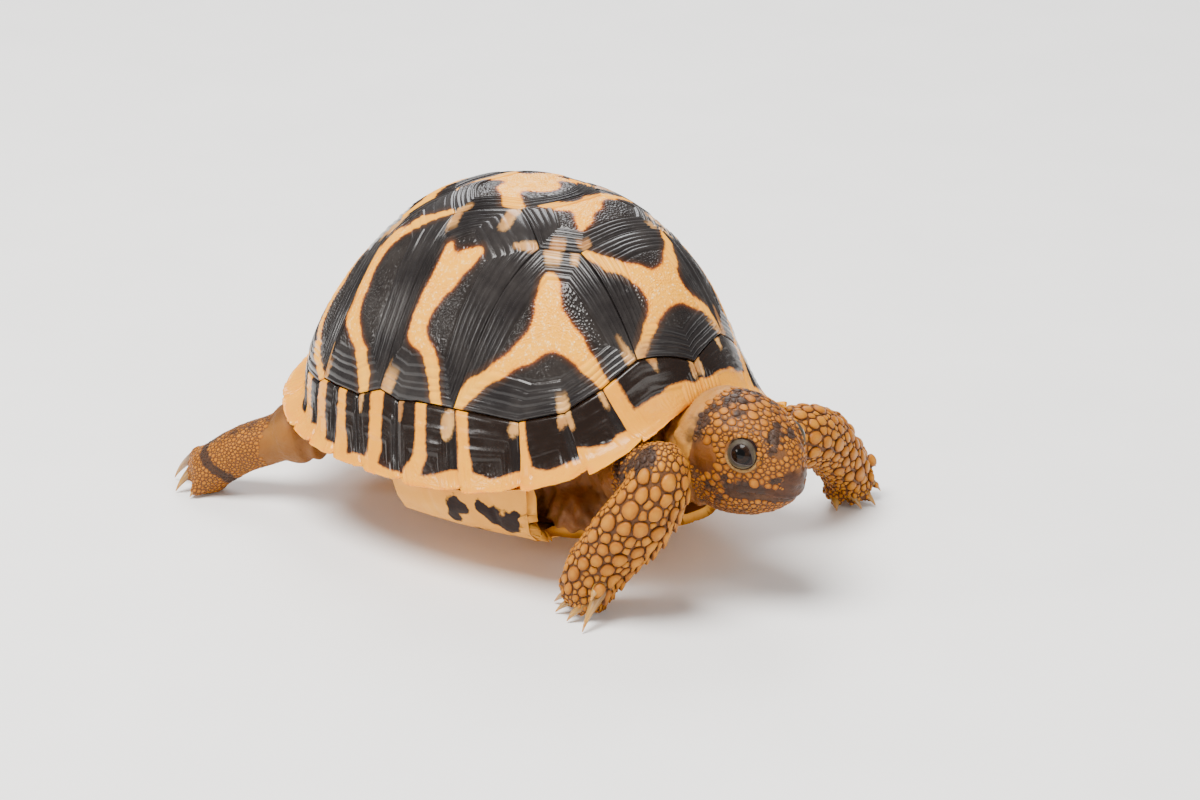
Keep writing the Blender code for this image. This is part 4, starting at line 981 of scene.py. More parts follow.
LIMBS = {       # (x, y, z, half width, half depth) from the body to the toes, and what the flat side faces
    "upper_arm_right": (
        [(27, -8.6, 15.4, 3.8, 3.8), (32, -9.9, 17.2, 4.1, 4.1), (37.4, -11.5, 19.4, 4.4, 4.2),
         (42.4, -13.4, 20.8, 4.2, 4.0), (45.2, -14.4, 21.2, 2.6, 2.6)], (0, 0, 1)),
    "leg_front_right": (
        [(42.6, -13.0, 25.4, 2.2, 2.0), (43.4, -14.0, 23.4, 3.9, 3.7), (44.0, -15.2, 20.4, 4.6, 4.3),
         (43.4, -16.4, 17.6, 5.0, 4.3), (41.2, -17.6, 14.0, 5.2, 4.2), (38.5, -18.6, 10.2, 4.9, 4.0),
         (36.0, -19.3, 6.8, 4.5, 3.8), (35.0, -20.0, 4.0, 4.2, 3.6), (34.6, -20.8, 1.8, 3.6, 3.0)],
        (1, -0.3, 0.4)),
    "leg_front_left": (
        [(27, 10.5, 14.0, 4.4, 4.4), (32.4, 15.5, 14.6, 4.7, 4.5), (34.2, 22.5, 15.0, 4.8, 4.6),
         (33.2, 28.6, 12.6, 4.9, 4.4), (32.2, 33.2, 8.6, 4.6, 3.9), (31.6, 35.8, 5.5, 4.4, 3.6),
         (31.4, 36.7, 3.2, 4.1, 3.3), (31.8, 36.8, 1.4, 3.2, 2.6)], (1, 0.3, 0.4)),
    "leg_rear_right": (
        [(-20, -15.4, 13.0, 4.3, 4.0), (-25, -20.7, 11.0, 4.3, 4.1), (-29, -23.6, 9.2, 4.2, 4.0),
         (-33, -26.2, 7.2, 4.3, 3.9), (-36.2, -28.2, 4.8, 4.3, 3.8), (-38.4, -29.8, 3.0, 4.0, 3.6),
         (-39.6, -30.8, 2.4, 2.8, 2.6)], (0, 0, 1)),
    "leg_rear_left": (
        [(-20, 13.0, 13.2, 4.4, 4.2), (-23.6, 17.6, 11.9, 4.4, 4.3), (-25.4, 21.0, 9.2, 4.5, 4.4),
         (-24.8, 23.8, 5.6, 4.6, 4.5), (-24.0, 24.6, 3.0, 4.6, 4.5), (-23.6, 24.8, 0.8, 3.4, 3.4)],
        (1, 0, 0.2)),
    "tail": (
        [(-29, 1.0, 14, 3.6, 3.2), (-33, 2.0, 12.5, 2.8, 2.4), (-36.0, 3.6, 10.2, 2.0, 1.7),
         (-37.4, 5.4, 8.4, 1.0, 0.9)], (0, 0, 1)),
}
CLAWS = {       # of each foot: (a spot inside the toe, the claw's tip)
    "front_right": [((38.2, -18.4, 7.2), (39.6, -23.6, 4.4)), ((38.6, -19.4, 5.8), (39.8, -25.4, 0.3)),
                    ((37.4, -20.2, 3.4), (35.6, -24.4, 0.3)), ((34.8, -20.4, 2.6), (32.2, -23.4, 0.3)),
                    ((32.8, -20.0, 2.6), (29.4, -21.0, 0.3))],
    "front_left": [((30.6, 37.0, 8.2), (32.2, 41.8, 4.6)), ((30.8, 36.6, 6.6), (34.0, 41.0, 1.4)),
                   ((31.2, 36.2, 4.6), (35.6, 38.2, 0.3)), ((31.4, 35.2, 3.2), (35.2, 35.6, 0.3)),
                   ((30.2, 34.4, 2.8), (33.2, 32.4, 0.3))],
    "rear_right": [((-39.8, -29.4, 5.6), (-44.8, -30.6, 0.4)), ((-38.8, -30.4, 4.2), (-40.4, -33.8, 0.3)),
                   ((-36.4, -30.4, 3.0), (-37.0, -33.8, 0.3)), ((-39.8, -28.8, 3.4), (-43.6, -27.8, 0.3))],
    "rear_left": [((-22.4, 23.2, 2.2), (-15.4, 21.8, 0.3)), ((-22.4, 24.4, 2.4), (-15.2, 24.8, 0.3)),
                  ((-23.0, 25.4, 2.4), (-16.6, 27.8, 0.3)), ((-23.8, 26.2, 2.2), (-19.4, 30.0, 0.3))],
}
FLESH = ["trunk", "neck", "head", "leg_front_right", "leg_front_left", "leg_rear_right", "leg_rear_left",
         "tail"]
MOUTH = [(46.0, 7.4, 18.9), (49.4, 6.1, 18.2), (52.2, 4.7, 18.5), (54.0, 3.2, 18.0), (54.9, 1.5, 17.5),
         (55.3, 0.0, 17.3)]        # the line of the mouth, from its corner to its middle
COLLAR = [(38.2, 28.0, 13.4, 7.0), (39.4, 29.2, 12.9, 7.6), (40.5, 29.9, 12.5, 7.9), (41.4, 29.9, 12.6, 7.8),
          (41.9, 29.2, 13.2, 7.2)]      # fold of skin behind the head: (x, top, low, half width)
CUFF = [(-22.0, -17.6, 12.2, 4.4, 4.2), (-24.2, -20.0, 11.3, 4.8, 4.6), (-26.0, -21.5, 10.6, 4.9, 4.7),
        (-27.3, -22.4, 10.1, 4.7, 4.5), (-28.0, -22.9, 9.8, 3.8, 3.6)]
EAR, EAR_SIZE = np.array((44.1, 7.2, 22.4)), 2.7


def smooth_path(stations, steps):
    rows = np.array(stations, float)
    rows = np.concatenate([[2 * rows[0] - rows[1]], rows, [2 * rows[-1] - rows[-2]]])
    path = []
    for before, start, end, after in zip(rows, rows[1:], rows[2:], rows[3:]):
        for t in np.arange(steps) / steps:
            path.append(0.5 * (2 * start + (end - before) * t
                               + (2 * before - 5 * start + 4 * end - after) * t * t
                               + (3 * start - before - 3 * end + after) * t ** 3))
    return np.array(path + [rows[-2]])


def limb_axes(path, flat_towards):
    along = unit(np.gradient(path[:, :3], axis=0))
    depth = np.array(flat_towards, float) - along * (along @ np.array(flat_towards, float))[:, None]
    depth = unit(depth)
    return along, np.cross(along, depth), depth


def limb_rings(stations, flat_towards, inset, sides=40, steps=8):
    path = smooth_path(stations, steps)
    _, width, depth = limb_axes(path, flat_towards)
    turn = np.arange(sides) / sides * 2 * math.pi
    rings = (path[:, None, :3]
             + width[:, None] * np.cos(turn)[None, :, None] * (path[:, None, 3:4] - inset)
             + depth[:, None] * np.sin(turn)[None, :, None] * (path[:, None, 4:5] - inset))
    low = rings[..., 2] < 1.1
    rings[..., 2] = np.where(low, np.maximum(rings[..., 2] * 0.2, 0.02), rings[..., 2])
    return rings


def oval_rings(rows, inset, count=64):
    turn = np.arange(count) / count * 2 * math.pi
    across, up = np.cos(turn), np.sin(turn)
    rings = []
    for x, top, bottom, half_width, fullness in rows:
        scale = (np.abs(across) ** fullness + np.abs(up) ** fullness) ** (-1 / fullness)
        rings.append(np.stack([np.full(count, x), (half_width - inset) * across * scale,
                               (top + bottom) / 2 + ((top - bottom) / 2 - inset) * up * scale], -1))
    return np.array(rings)


def loft(rings):
    """Points and faces of a closed body through rings."""
    count, sides = rings.shape[:2]
    index = np.arange(count * sides).reshape(count, sides)
    after = np.roll(index, -1, axis=1)
    quads = np.stack([index[:-1], after[:-1], after[1:], index[1:]], -1).reshape(-1, 4).tolist()
    points = np.concatenate([rings.reshape(-1, 3), rings[0].mean(0)[None], rings[-1].mean(0)[None]])
    first, last = len(points) - 2, len(points) - 1
    tris = [(first, int(b), int(a)) for a, b in zip(index[0], after[0])]
    tris += [(last, int(a), int(b)) for a, b in zip(index[-1], after[-1])]
    return points, quads + tris


def ball(centre, radius, stretch=(1, 1, 1), sides=20):
    turn = np.linspace(0, math.pi, 13)[1:-1]
    spin = np.arange(sides) / sides * 2 * math.pi
    rings = np.stack([np.outer(np.sin(turn), np.cos(spin)), np.outer(np.sin(turn), np.sin(spin)),
                      np.outer(np.cos(turn), np.ones(sides))], -1)
    return loft(np.array(centre) + rings * radius * np.array(stretch))


def raw_flesh():
    """Every body that the skin joins. The limbs lie a coat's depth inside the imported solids."""
    bodies = []
    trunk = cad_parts["trunk"].data
    points = read_array(trunk.vertices, "co", 3) / MM - MIDDLE
    whole, where = np.unique(np.round(points, 4), axis=0, return_inverse=True)
    whole[:, 2] = whole[:, 2] - 1.7 * smoothstep(14.0, 9.5, whole[:, 2])      # down onto the plastron
    where = where.ravel()
    bodies.append((whole, [[int(where[v]) for v in face.vertices] for face in trunk.polygons]))
    for stations, flat_towards in LIMBS.values():
        bodies.append(loft(limb_rings(stations, flat_towards, COAT)))
    neck = smooth_path(NECK + [(44.0, 21.4, 6.6, 7.4)], 6)
    bodies.append(loft(oval_rings([(x, z + high, z - high, wide, 2.0) for x, z, wide, high in neck], 0.3)))
    head = smooth_path(HEAD, 8)
    bodies.append(loft(oval_rings(head, 0.28)))
    for side in (-1, 1):
        # The pocket before the bridge
        bodies.append(ball((25.0, 12.6 * side, 11.2), 1.0, (5.4, 4.6, 3.7)))
    bodies.append(loft(oval_rings([(x, top, low, wide, 2.1) for x, top, low, wide in COLLAR], 0.0)))
    bodies.append(loft(limb_rings(CUFF, (0, 0, 1), 0.0)))
    for foot in CLAWS:
        for exit_spot, tip in claw_exits(foot):
            way = unit(tip - exit_spot)
            for reach, radius in ((-1.8, 1.3), (-0.8, 1.2), (0.1, 1.05), (0.8, 0.85)):
                spot = exit_spot + way * reach
                spot[2] = max(spot[2], radius + 0.05)
                bodies.append(ball(spot, radius))
    return bodies


def claw_exits(foot):
    """Where each claw of a foot comes out of it, and its tip."""
    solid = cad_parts["leg_" + foot].data
    leg = BVHTree.FromPolygons([v.co / MM - Vector(MIDDLE) for v in solid.vertices],
                               [f.vertices for f in solid.polygons])
    found = []
    for toe, tip in CLAWS[foot]:
        toe, tip = Vector(toe), Vector(tip)
        hit = leg.ray_cast(tip, (toe - tip).normalized())[0]
        found.append((np.array(hit if hit else toe), np.array(tip)))
    return found


def mesh_arrays(mesh):
    return (read_array(mesh.vertices, "co", 3), read_array(mesh.vertex_normals, "vector", 3),
            read_array(mesh.edges, "vertices", 2, int))


def evened(points, edges, rounds, share=0.5, held=None):
    """Points moved towards the middle of their neighbours."""
    count = np.bincount(edges.ravel(), minlength=len(points))[:, None]
    for _ in range(rounds):
        total = np.zeros_like(points)
        np.add.at(total, edges[:, 0], points[edges[:, 1]])
        np.add.at(total, edges[:, 1], points[edges[:, 0]])
        moved = points + (total / np.maximum(count, 1) - points) * share
        points = moved if held is None else points + (moved - points) * held[:, None]
    return points


def path_distance(points, path):
    """Distance from points to a line of points, the nearest way along it, and the nearest place."""
    path = np.array(path, float)
    best = np.full(len(points), 1e9)
    where = np.zeros(len(points))
    nearest = np.zeros_like(points)
    for k, (start, end) in enumerate(zip(path, path[1:])):
        line = end - start
        share = np.clip((points - start) @ line / max(line @ line, 1e-9), 0, 1)
        place = start + share[:, None] * line
        gap = np.linalg.norm(points - place, axis=1)
        closer = gap < best
        best = np.where(closer, gap, best)
        where = np.where(closer, k + share, where)
        nearest = np.where(closer[:, None], place, nearest)
    return best, where, nearest


def folded(points):
    """The same points with the right side laid over the left one."""
    return points * (1, 0, 1) + np.abs(points) * (0, 1, 0)


def eye_axes(points):
    """How far along the eye's line of sight points lie from its middle, and how far off that line."""
    away = folded(points) - EYE
    along = away @ EYE_OUT
    return along, np.linalg.norm(away - along[:, None] * EYE_OUT, axis=1)


def head_relief(points):
    """How far the skin of the head stands out, in mm."""
    half = folded(points)
    lift = np.zeros(len(points))
    gap, where, nearest = path_distance(half, MOUTH)
    above = half[:, 2] - nearest[:, 2]
    lift -= 0.34 * np.exp(-(gap / 0.22) ** 2)
    lift += 0.22 * np.exp(-((gap - 0.55) / 0.4) ** 2) * (above > 0) * (where > 1)
    lift -= 0.12 * smoothstep(2.2, 0.3, gap) * (above < 0) * (where > 0.7)
    nostril = np.linalg.norm(half - np.array((56.0, 0.85, 21.9)), axis=1)
    lift -= 0.30 * np.exp(-(nostril / 0.30) ** 2)
    ear = np.linalg.norm(half - EAR, axis=1)
    lift += 0.10 * np.exp(-(ear / 1.8) ** 2) - 0.16 * np.exp(-((ear - EAR_SIZE) / 0.4) ** 2)
    brow = np.linalg.norm((half - np.array((48.4, 5.4, 26.6))) / (2.6, 1.3, 0.9), axis=1)
    lift += 0.32 * np.exp(-brow ** 2)
    crease, _, _ = path_distance(half,
                                 [(53.9, 2.7, 22.4), (53.4, 2.9, 24.8), (52.4, 2.3, 26.3), (51.6, 1.0, 27.3)])
    lift -= 0.22 * np.exp(-(crease / 0.26) ** 2)
    nose = np.linalg.norm((half - np.array((54.6, 1.9, 24.0))) / (1.5, 1.3, 1.3), axis=1)
    lift += 0.16 * np.exp(-nose ** 2)
    jaw, _, _ = path_distance(half, [(44.5, 6.2, 16.2), (49.0, 5.0, 15.2), (52.6, 3.0, 16.0)])
    lift += 0.14 * np.exp(-(jaw / 1.0) ** 2)
    return lift


def hollow_for_eye(points):
    """Skin near the eye, laid on a ball a little bigger than the eye, and hollow at its opening."""
    half = folded(points)
    away = half - EYE
    along, off = eye_axes(points)
    reach = np.linalg.norm(away, axis=1)
    want = 3.0 + 0.12 * np.exp(-((off - 2.35) / 0.22) ** 2)
    want = want - 1.2 * smoothstep(2.12, 1.75, off)
    share = smoothstep(3.7, 2.7, off) * (along > 0)
    moved = EYE + away * (1 + (want / np.maximum(reach, 1e-6) - 1) * share)[:, None]
    sign = np.where(points[:, 1] < 0, -1.0, 1.0)
    return moved * np.stack([np.ones_like(sign), sign, np.ones_like(sign)], 1)


def fold_relief(points):
    """Wrinkles and folds of the soft skin between the limbs, the neck and the shell."""
    lift = np.zeros(len(points))
    soft = noise(points, 3.0, 21) * 3.0 + noise(points, 1.2, 22) * 0.9
    collar = smoothstep(31.5, 34.5, points[:, 0]) * smoothstep(41.2, 39.6, points[:, 0]) * (
        np.hypot(points[:, 1], (points[:, 2] - 20) * 0.9) < 9.5)
    lift += collar * 0.38 * np.sin(points[:, 0] * 2 * math.pi / 2.6 + points[:, 2] * 0.16 + soft)
    for root, reach in (((33.0, -9.5, 17.0), 13.0), ((30.0, 11.0, 14.0), 12.0),
                        ((-20.0, -15.4, 13.0), 12.0), ((-20.0, 13.0, 13.2), 12.0), ((-30.0, 1.5, 14.0), 9.0)):
        gap = np.linalg.norm(points - np.array(root), axis=1)
        lift += 0.26 * np.sin(gap * 2 * math.pi / 2.1 + soft) * smoothstep(3.5, 5.0, gap) * smoothstep(
            reach, reach - 4, gap)
    pocket = (np.abs(points[:, 1]) > 9) & (points[:, 2] < 17) & (points[:, 0] > 18) & (points[:, 0] < 34)
    gap = np.linalg.norm(folded(points) - np.array((21.0, 17.5, 13.0)), axis=1)
    return lift + pocket * 0.24 * np.sin(gap * 2 * math.pi / 1.9 + soft * 0.5)


def part_of(points):
    """For each point of the skin: its part, the way along it and the turn round it."""
    names = ["head", "neck", *LIMBS, "trunk"]
    best = np.full(len(points), 1e9)
    which = np.full(len(points), len(names) - 1)
    along = np.zeros(len(points))
    turn = np.arctan2(points[:, 2] - 20, points[:, 1])
    lie = np.zeros_like(points)
    lie[:, 0] = -1
    for number, name in enumerate(names[:-1]):
        if name == "head":
            path = np.array([(x, 0, (top + low) / 2, wide, (top - low) / 2) for x, top, low, wide, _ in HEAD])
            flat = (0, 0, 1)
        elif name == "neck":
            path = np.array([(x, 0, z, wide, high) for x, z, wide, high in NECK])
            flat = (0, 0, 1)
        else:
            path, flat = smooth_path(LIMBS[name][0], 6), LIMBS[name][1]
        gap, where, nearest = path_distance(points, path[:, :3])
        radius = np.interp(where, np.arange(len(path)), (path[:, 3] + path[:, 4]) / 2)
        score = gap / np.maximum(radius, 3.0 if name == "head" else 1.0)
        mine = (score < best) & (score < 1.45)
        axes = [np.stack([np.interp(where, np.arange(len(path)), part[:, k]) for k in range(3)], 1)
                for part in limb_axes(path, flat)]
        away = points - nearest
        best = np.where(mine, score, best)
        which = np.where(mine, number, which)
        along = np.where(mine, where / (len(path) - 1), along)
        turn = np.where(mine, np.arctan2((away * axes[2]).sum(1), (away * axes[1]).sum(1)), turn)
        lie = np.where(mine[:, None], axes[0] if name not in ("head", "neck") else -axes[0], lie)
    return np.array(names)[which], along, turn, lie


# Dark patches of the head: (x, y, z, size, strength), the same on both sides
HEAD_PATCHES = [(52.9, 1.5, 26.3, 1.5, 1.0), (52.0, 0.6, 27.2, 1.0, 0.8), (53.3, 2.9, 24.6, 0.9, 0.9),
                (54.6, 2.1, 24.3, 1.1, 0.55), (45.0, 2.2, 29.9, 1.7, 0.9), (44.0, 0.0, 30.0, 1.3, 0.8),
                (47.0, 0.9, 29.8, 1.0, 0.7), (47.8, 3.2, 28.8, 1.0, 0.7), (49.8, 1.8, 28.6, 0.9, 0.6),
                (43.0, 5.8, 27.2, 1.9, 0.85), (42.4, 6.7, 24.8, 1.5, 0.7), (46.2, 5.0, 27.8, 1.0, 0.6),
                (43.4, 4.2, 28.9, 1.3, 0.75), (48.3, 6.5, 19.4, 1.4, 0.75), (50.6, 5.7, 19.4, 1.3, 0.95),
                (52.6, 4.4, 19.3, 1.0, 0.8), (54.4, 3.1, 20.4, 0.7, 0.9), (45.5, 7.1, 18.0, 1.3, 0.7),
                (47.0, 6.6, 16.5, 1.0, 0.6), (43.0, 7.0, 19.5, 1.2, 0.5), (50.6, 3.6, 27.6, 0.6, 0.5)]
LEG_PATCHES = [(42.9, -17.6, 24.4, 2.7, 1.0), (40.5, -15.5, 22.6, 3.0, 1.0), (37.0, -14.0, 20.5, 3.0, 0.8),
               (35.5, -21.5, 8.8, 1.2, 0.5)]


def dark_patches(points):
    """How dark the skin's markings are, from 0 to 1."""
    half = folded(points)
    dark = np.zeros(len(points))
    wobble = (noise(points, 0.9, 31) - 0.5) * 0.9 + (noise(points, 0.35, 32) - 0.5) * 0.55
    for x, y, z, size, strength in HEAD_PATCHES:
        gap = np.linalg.norm(half - np.array((x, y, z)), axis=1) / size + wobble
        dark = np.maximum(dark, strength * smoothstep(1.15, 0.55, gap))
    for x, y, z, size, strength in LEG_PATCHES:
        gap = np.linalg.norm(points - np.array((x, y, z)), axis=1) / size + wobble * 0.6
        dark = np.maximum(dark, strength * smoothstep(1.1, 0.6, gap))
    return dark


def skin_values(points):
    """What the skin and the scales show at points: darkness (markings, and painted shade under the head),
    warmth, paleness and so on.
    """
    part, along, turn, _ = part_of(points)
    half = folded(points)
    dark = dark_patches(points)
    rear = np.isin(part, ["leg_rear_right", "leg_rear_left"])
    ankle = part == "leg_rear_right"
    band = smoothstep(0.06, 0.02, np.abs(along - 0.66 + 0.03 * np.sin(turn * 2)))
    dark = np.maximum(dark, ankle * 0.85 * band)
    dark = np.maximum(dark, rear * 0.55 * smoothstep(0.55, 0.9, np.sin(turn)) * smoothstep(0.75, 0.6, along))
    front = np.isin(part, ["leg_front_right", "leg_front_left"])
    arm = part == "upper_arm_right"
    warm = np.where(front, 0.25, np.where(rear, 0.8, np.where(part == "head", 0.55, 0.5)))
    warm = np.where(arm, 0.4, warm)
    ear = smoothstep(3.2, 2.2, np.linalg.norm(half - EAR, axis=1))
    warm = np.maximum(warm, ear * 0.70)
    brow = np.linalg.norm((half - np.array((50.6, 4.6, 26.4))) / (1.9, 1.4, 1.2), axis=1)
    warm = warm - 0.6 * smoothstep(1.3, 0.7, brow)
    # Painted shade, partly the head's own colour: the head turns warmer and darker towards its underside
    warm = warm + 0.35 * (part == "head") * smoothstep(24.0, 19.0, points[:, 2])
    # Painted shade: the underside of the head darkened below 18.5 mm
    dark = np.maximum(dark, 0.50 * (part == "head") * smoothstep(18.5, 14.5, points[:, 2]))
    collar = (part == "neck") | ((part == "trunk") & (points[:, 0] > 25) & (points[:, 2] > 19))
    pale = collar * smoothstep(14.0, 22.0, points[:, 2])
    gap, where, nearest = path_distance(half, MOUTH)
    above = half[:, 2] - nearest[:, 2]
    snout = np.linalg.norm(half - np.array((55.4, 1.2, 20.0)), axis=1)
    beak = np.clip(smoothstep(1.7, 1.1, gap) * (where > 0.6) + smoothstep(2.3, 1.4, snout), 0, 1)
    along_eye, off = eye_axes(points)
    lid = smoothstep(2.35, 2.05, off) * (along_eye > 1)
    rim = np.exp(-((off - 2.42) / 0.22) ** 2) * (along_eye > 1) * smoothstep(24.4, 22.8, points[:, 2])
    coated = np.isin(part, list(LIMBS)) & ((part != "upper_arm_right") | (points[:, 0] > 34))
    coated |= (part == "head") & ~bare_on_head(points) & (points[:, 0] > 42.0)
    coated &= ~((part == "leg_rear_right") & (points[:, 0] > -28.0))
    pale = np.maximum(pale, ((part == "head") & (points[:, 0] < 42.1)) * 1.0)
    pale = np.maximum(pale, ((part == "leg_rear_right") & (points[:, 0] > -28.2)) * 0.35)
    # Painted shade: mottled darkening under the chin
    painted_chin_shade = 0.55 * (part == "head") * smoothstep(18.0, 15.5, points[:, 2]) * noise(points, 0.9, 44)
    dark = np.maximum(dark, painted_chin_shade)
    jaw = smoothstep(1.35, 0.9, gap) * (above < 0) * (where > 0.8)
    return {"dark": dark, "warm": warm, "pale": pale, "beak": beak, "lid": lid, "rim": rim,
            "coated": coated * 1.0, "jaw": jaw, "shade": noise(points, 2.2, 41)}


def skin_finish():
    finish, shader, tree = new_finish("tortoise skin", Specular_IOR_Level=0.25, Subsurface_Weight=0.15,
                                      Subsurface_Radius=(1.0, 0.45, 0.2), Subsurface_Scale=0.001)
    fine = speckle(tree, 900, 5.0)
    base = ramp(tree, attribute(tree, "warm"), [(0.0, (0.34, 0.14, 0.025)), (0.5, (0.21, 0.070, 0.010)),
                                               (1.0, (0.10, 0.026, 0.003))])
    base = blend(tree, attribute(tree, "coated"), base, (0.105, 0.036, 0.008))
    mottle = between(tree, speckle(tree, 260, 4.0), 0.35, 0.7)
    base = blend(tree, mottle, base, blend(tree, 0.35, base, (0.10, 0.045, 0.015)))
    base = blend(tree, attribute(tree, "pale"), base, ramp(
        tree, speckle(tree, 150, 3.0), [(0.3, (0.30, 0.115, 0.013)), (0.7, (0.43, 0.185, 0.026))]))
    base = blend(tree, attribute(tree, "beak"), base, ramp(
        tree, speckle(tree, 320, 4.0, stretch=(1, 1, 3)),
        [(0.35, (0.034, 0.010, 0.003)), (0.65, (0.076, 0.025, 0.007))]))
    base = blend(tree, attribute(tree, "jaw"), base, ramp(
        tree, speckle(tree, 320, 4.0, stretch=(1, 1, 3)),
        [(0.35, (0.036, 0.012, 0.003)), (0.65, (0.082, 0.031, 0.010))]))
    # The dark markings, and the painted shade under the head and chin, in one dark brown
    marks_and_shade = maths(tree, "MULTIPLY", attribute(tree, "dark"), between(tree, fine, 0.25, 0.6, 1.0, 0.75))
    base = blend(tree, marks_and_shade, base, (0.030, 0.016, 0.010))
    base = blend(tree, attribute(tree, "lid"), base, ramp(
        tree, speckle(tree, 1400, 3.0), [(0.3, (0.06, 0.042, 0.028)), (0.7, (0.10, 0.075, 0.05))]))
    base = blend(tree, maths(tree, "MULTIPLY", attribute(tree, "rim"), 0.75), base, (0.36, 0.22, 0.07))
    tree.links.new(base, shader.inputs["Base Color"])
    tree.links.new(between(tree, fine, 0.3, 0.7, 0.42, 0.6), shader.inputs["Roughness"])
    bump(tree, shader, speckle(tree, 1600, 5.0), 0.5, 0.0003)
    return finish


def add_skin():
    points, faces, start = [], [], 0
    for body_points, body_faces in raw_flesh():
        points.append(body_points)
        faces += [[v + start for v in face] for face in body_faces]
        start += len(body_points)
    mesh = bpy.data.meshes.new("raw_skin")
    mesh.from_pydata(((np.concatenate(points) + MIDDLE) * MM).tolist(), [], faces)
    raw = add_object("raw_skin", mesh)
    even = raw.modifiers.new("even", "REMESH")
    even.mode = "VOXEL"
    even.voxel_size = SKIN_GRAIN
    joined = made_mesh(raw)
    bpy.data.objects.remove(raw)
    places, normals, edges = mesh_arrays(joined)
    places = evened(places / MM - MIDDLE, edges, 7)
    joined.vertices.foreach_set("co", places.ravel())
    joined.update()
    shape = bmesh.new()
    shape.from_mesh(joined)
    near_head = [edge for edge in shape.edges
                 if all(v.co.x > 41.0 and abs(v.co.y) < 8.0 and v.co.z > 11.5 for v in edge.verts)]
    bmesh.ops.subdivide_edges(shape, edges=near_head, cuts=1, use_grid_fill=True, smooth=0.3)
    bmesh.ops.triangulate(shape, faces=[face for face in shape.faces if len(face.verts) > 4])
    shape.to_mesh(joined)
    shape.free()
    places, normals, edges = mesh_arrays(joined)
    part = part_of(places)[0]
    on_head = (places[:, 0] > 40.5) & (np.abs(places[:, 1]) < 8.2) & (places[:, 2] > 11.5)
    on_head &= part != "leg_front_right"
    places = evened(places, edges, 2, held=on_head.astype(float))
    places = np.where(on_head[:, None], hollow_for_eye(places), places)
    lift = np.where(on_head, head_relief(places), 0) + fold_relief(places)
    lift += (noise(places, 0.9, 51) - 0.5) * 0.10
    places = places + normals * lift[:, None]
    places[:, 2] = np.maximum(places[:, 2], 0.0)
    sizes = read_array(joined.polygons, "loop_total", kind=np.int32)
    corners = read_array(joined.loops, "vertex_index", kind=np.int32)
    starts = np.concatenate([[0], np.cumsum(sizes)[:-1]])
    quads = corners[starts[sizes == 4][:, None] + np.arange(4)]
    tris = corners[starts[sizes == 3][:, None] + np.arange(3)]
    bpy.data.meshes.remove(joined)
    return new_piece("skin", places, quads, tris, skin_values(places), skin_finish(), FLESH)


# Eyes and lids

EYE_BALL = 2.8                     # radius of the eye under its lids, in mm
LID_SIDES = 96
LID_ROWS = [(0.00, -0.30), (0.02, 0.02), (0.07, 0.10), (0.16, 0.13), (0.30, 0.12), (0.42, 0.08), (0.50, 0.12),
            (0.62, 0.15), (0.74, 0.13), (0.84, 0.05), (0.92, -0.10), (1.0, -0.40)]      # (share across, rise)


def eye_frame(side):
    """The eye's middle and its axes: outward, forward and up."""
    flip = np.array((1, side, 1))
    forward = unit(np.cross(EYE_OUT, (0, 0, -1.0)))
    forward = forward if forward[0] > 0 else -forward
    up = np.cross(forward, EYE_OUT)
    up = up if up[2] > 0 else -up
    return EYE * flip, EYE_OUT * flip, forward * flip, up * flip


def on_ball(side, reach, turn, radius):
    """Points round the eye: reach is the way along the ball from its front, in mm."""
    middle, out, forward, up = eye_frame(side)
    angle = reach / EYE_BALL
    flat = forward * np.cos(turn)[..., None] + up * np.sin(turn)[..., None]
    return middle + (out * np.cos(angle)[..., None] + flat * np.sin(angle)[..., None]) * radius[..., None]


def eyeball_finish():
    finish, shader, tree = new_finish("eye", Roughness=0.15, Specular_IOR_Level=0.1, Coat_Weight=0.12,
                                      Coat_Roughness=0.03)
    reach = attribute(tree, "reach")
    iris = ramp(tree, speckle(tree, 2200, 3.0), [(0.35, (0.006, 0.003, 0.002)), (0.7, (0.022, 0.010, 0.005))])
    colour = blend(tree, between(tree, reach, 0.62, 0.74), (0.002, 0.002, 0.002), iris)
    colour = blend(tree, between(tree, reach, 1.30, 1.42), colour, (0.004, 0.002, 0.002))
    colour = blend(tree, between(tree, reach, 1.62, 1.85), colour, (0.020, 0.010, 0.009))
    tree.links.new(colour, shader.inputs["Base Color"])
    return finish


def lid_finish():
    finish, shader, tree = new_finish("eyelid", Roughness=0.5, Specular_IOR_Level=0.25)
    share = attribute(tree, "share")
    skin = ramp(tree, speckle(tree, 900, 4.0), [(0.3, (0.026, 0.019, 0.012)), (0.7, (0.055, 0.042, 0.026))])
    pale = ramp(tree, speckle(tree, 700, 4.0), [(0.3, (0.075, 0.050, 0.020)), (0.7, (0.15, 0.105, 0.040))])
    skin = blend(tree, attribute(tree, "lower"), skin, pale)
    skin = blend(tree, between(tree, share, 0.14, 0.02), skin, (0.035, 0.022, 0.02))
    tree.links.new(skin, shader.inputs["Base Color"])
    bump(tree, shader, speckle(tree, 1500, 4.0), 0.4, 0.0002)
    return finish


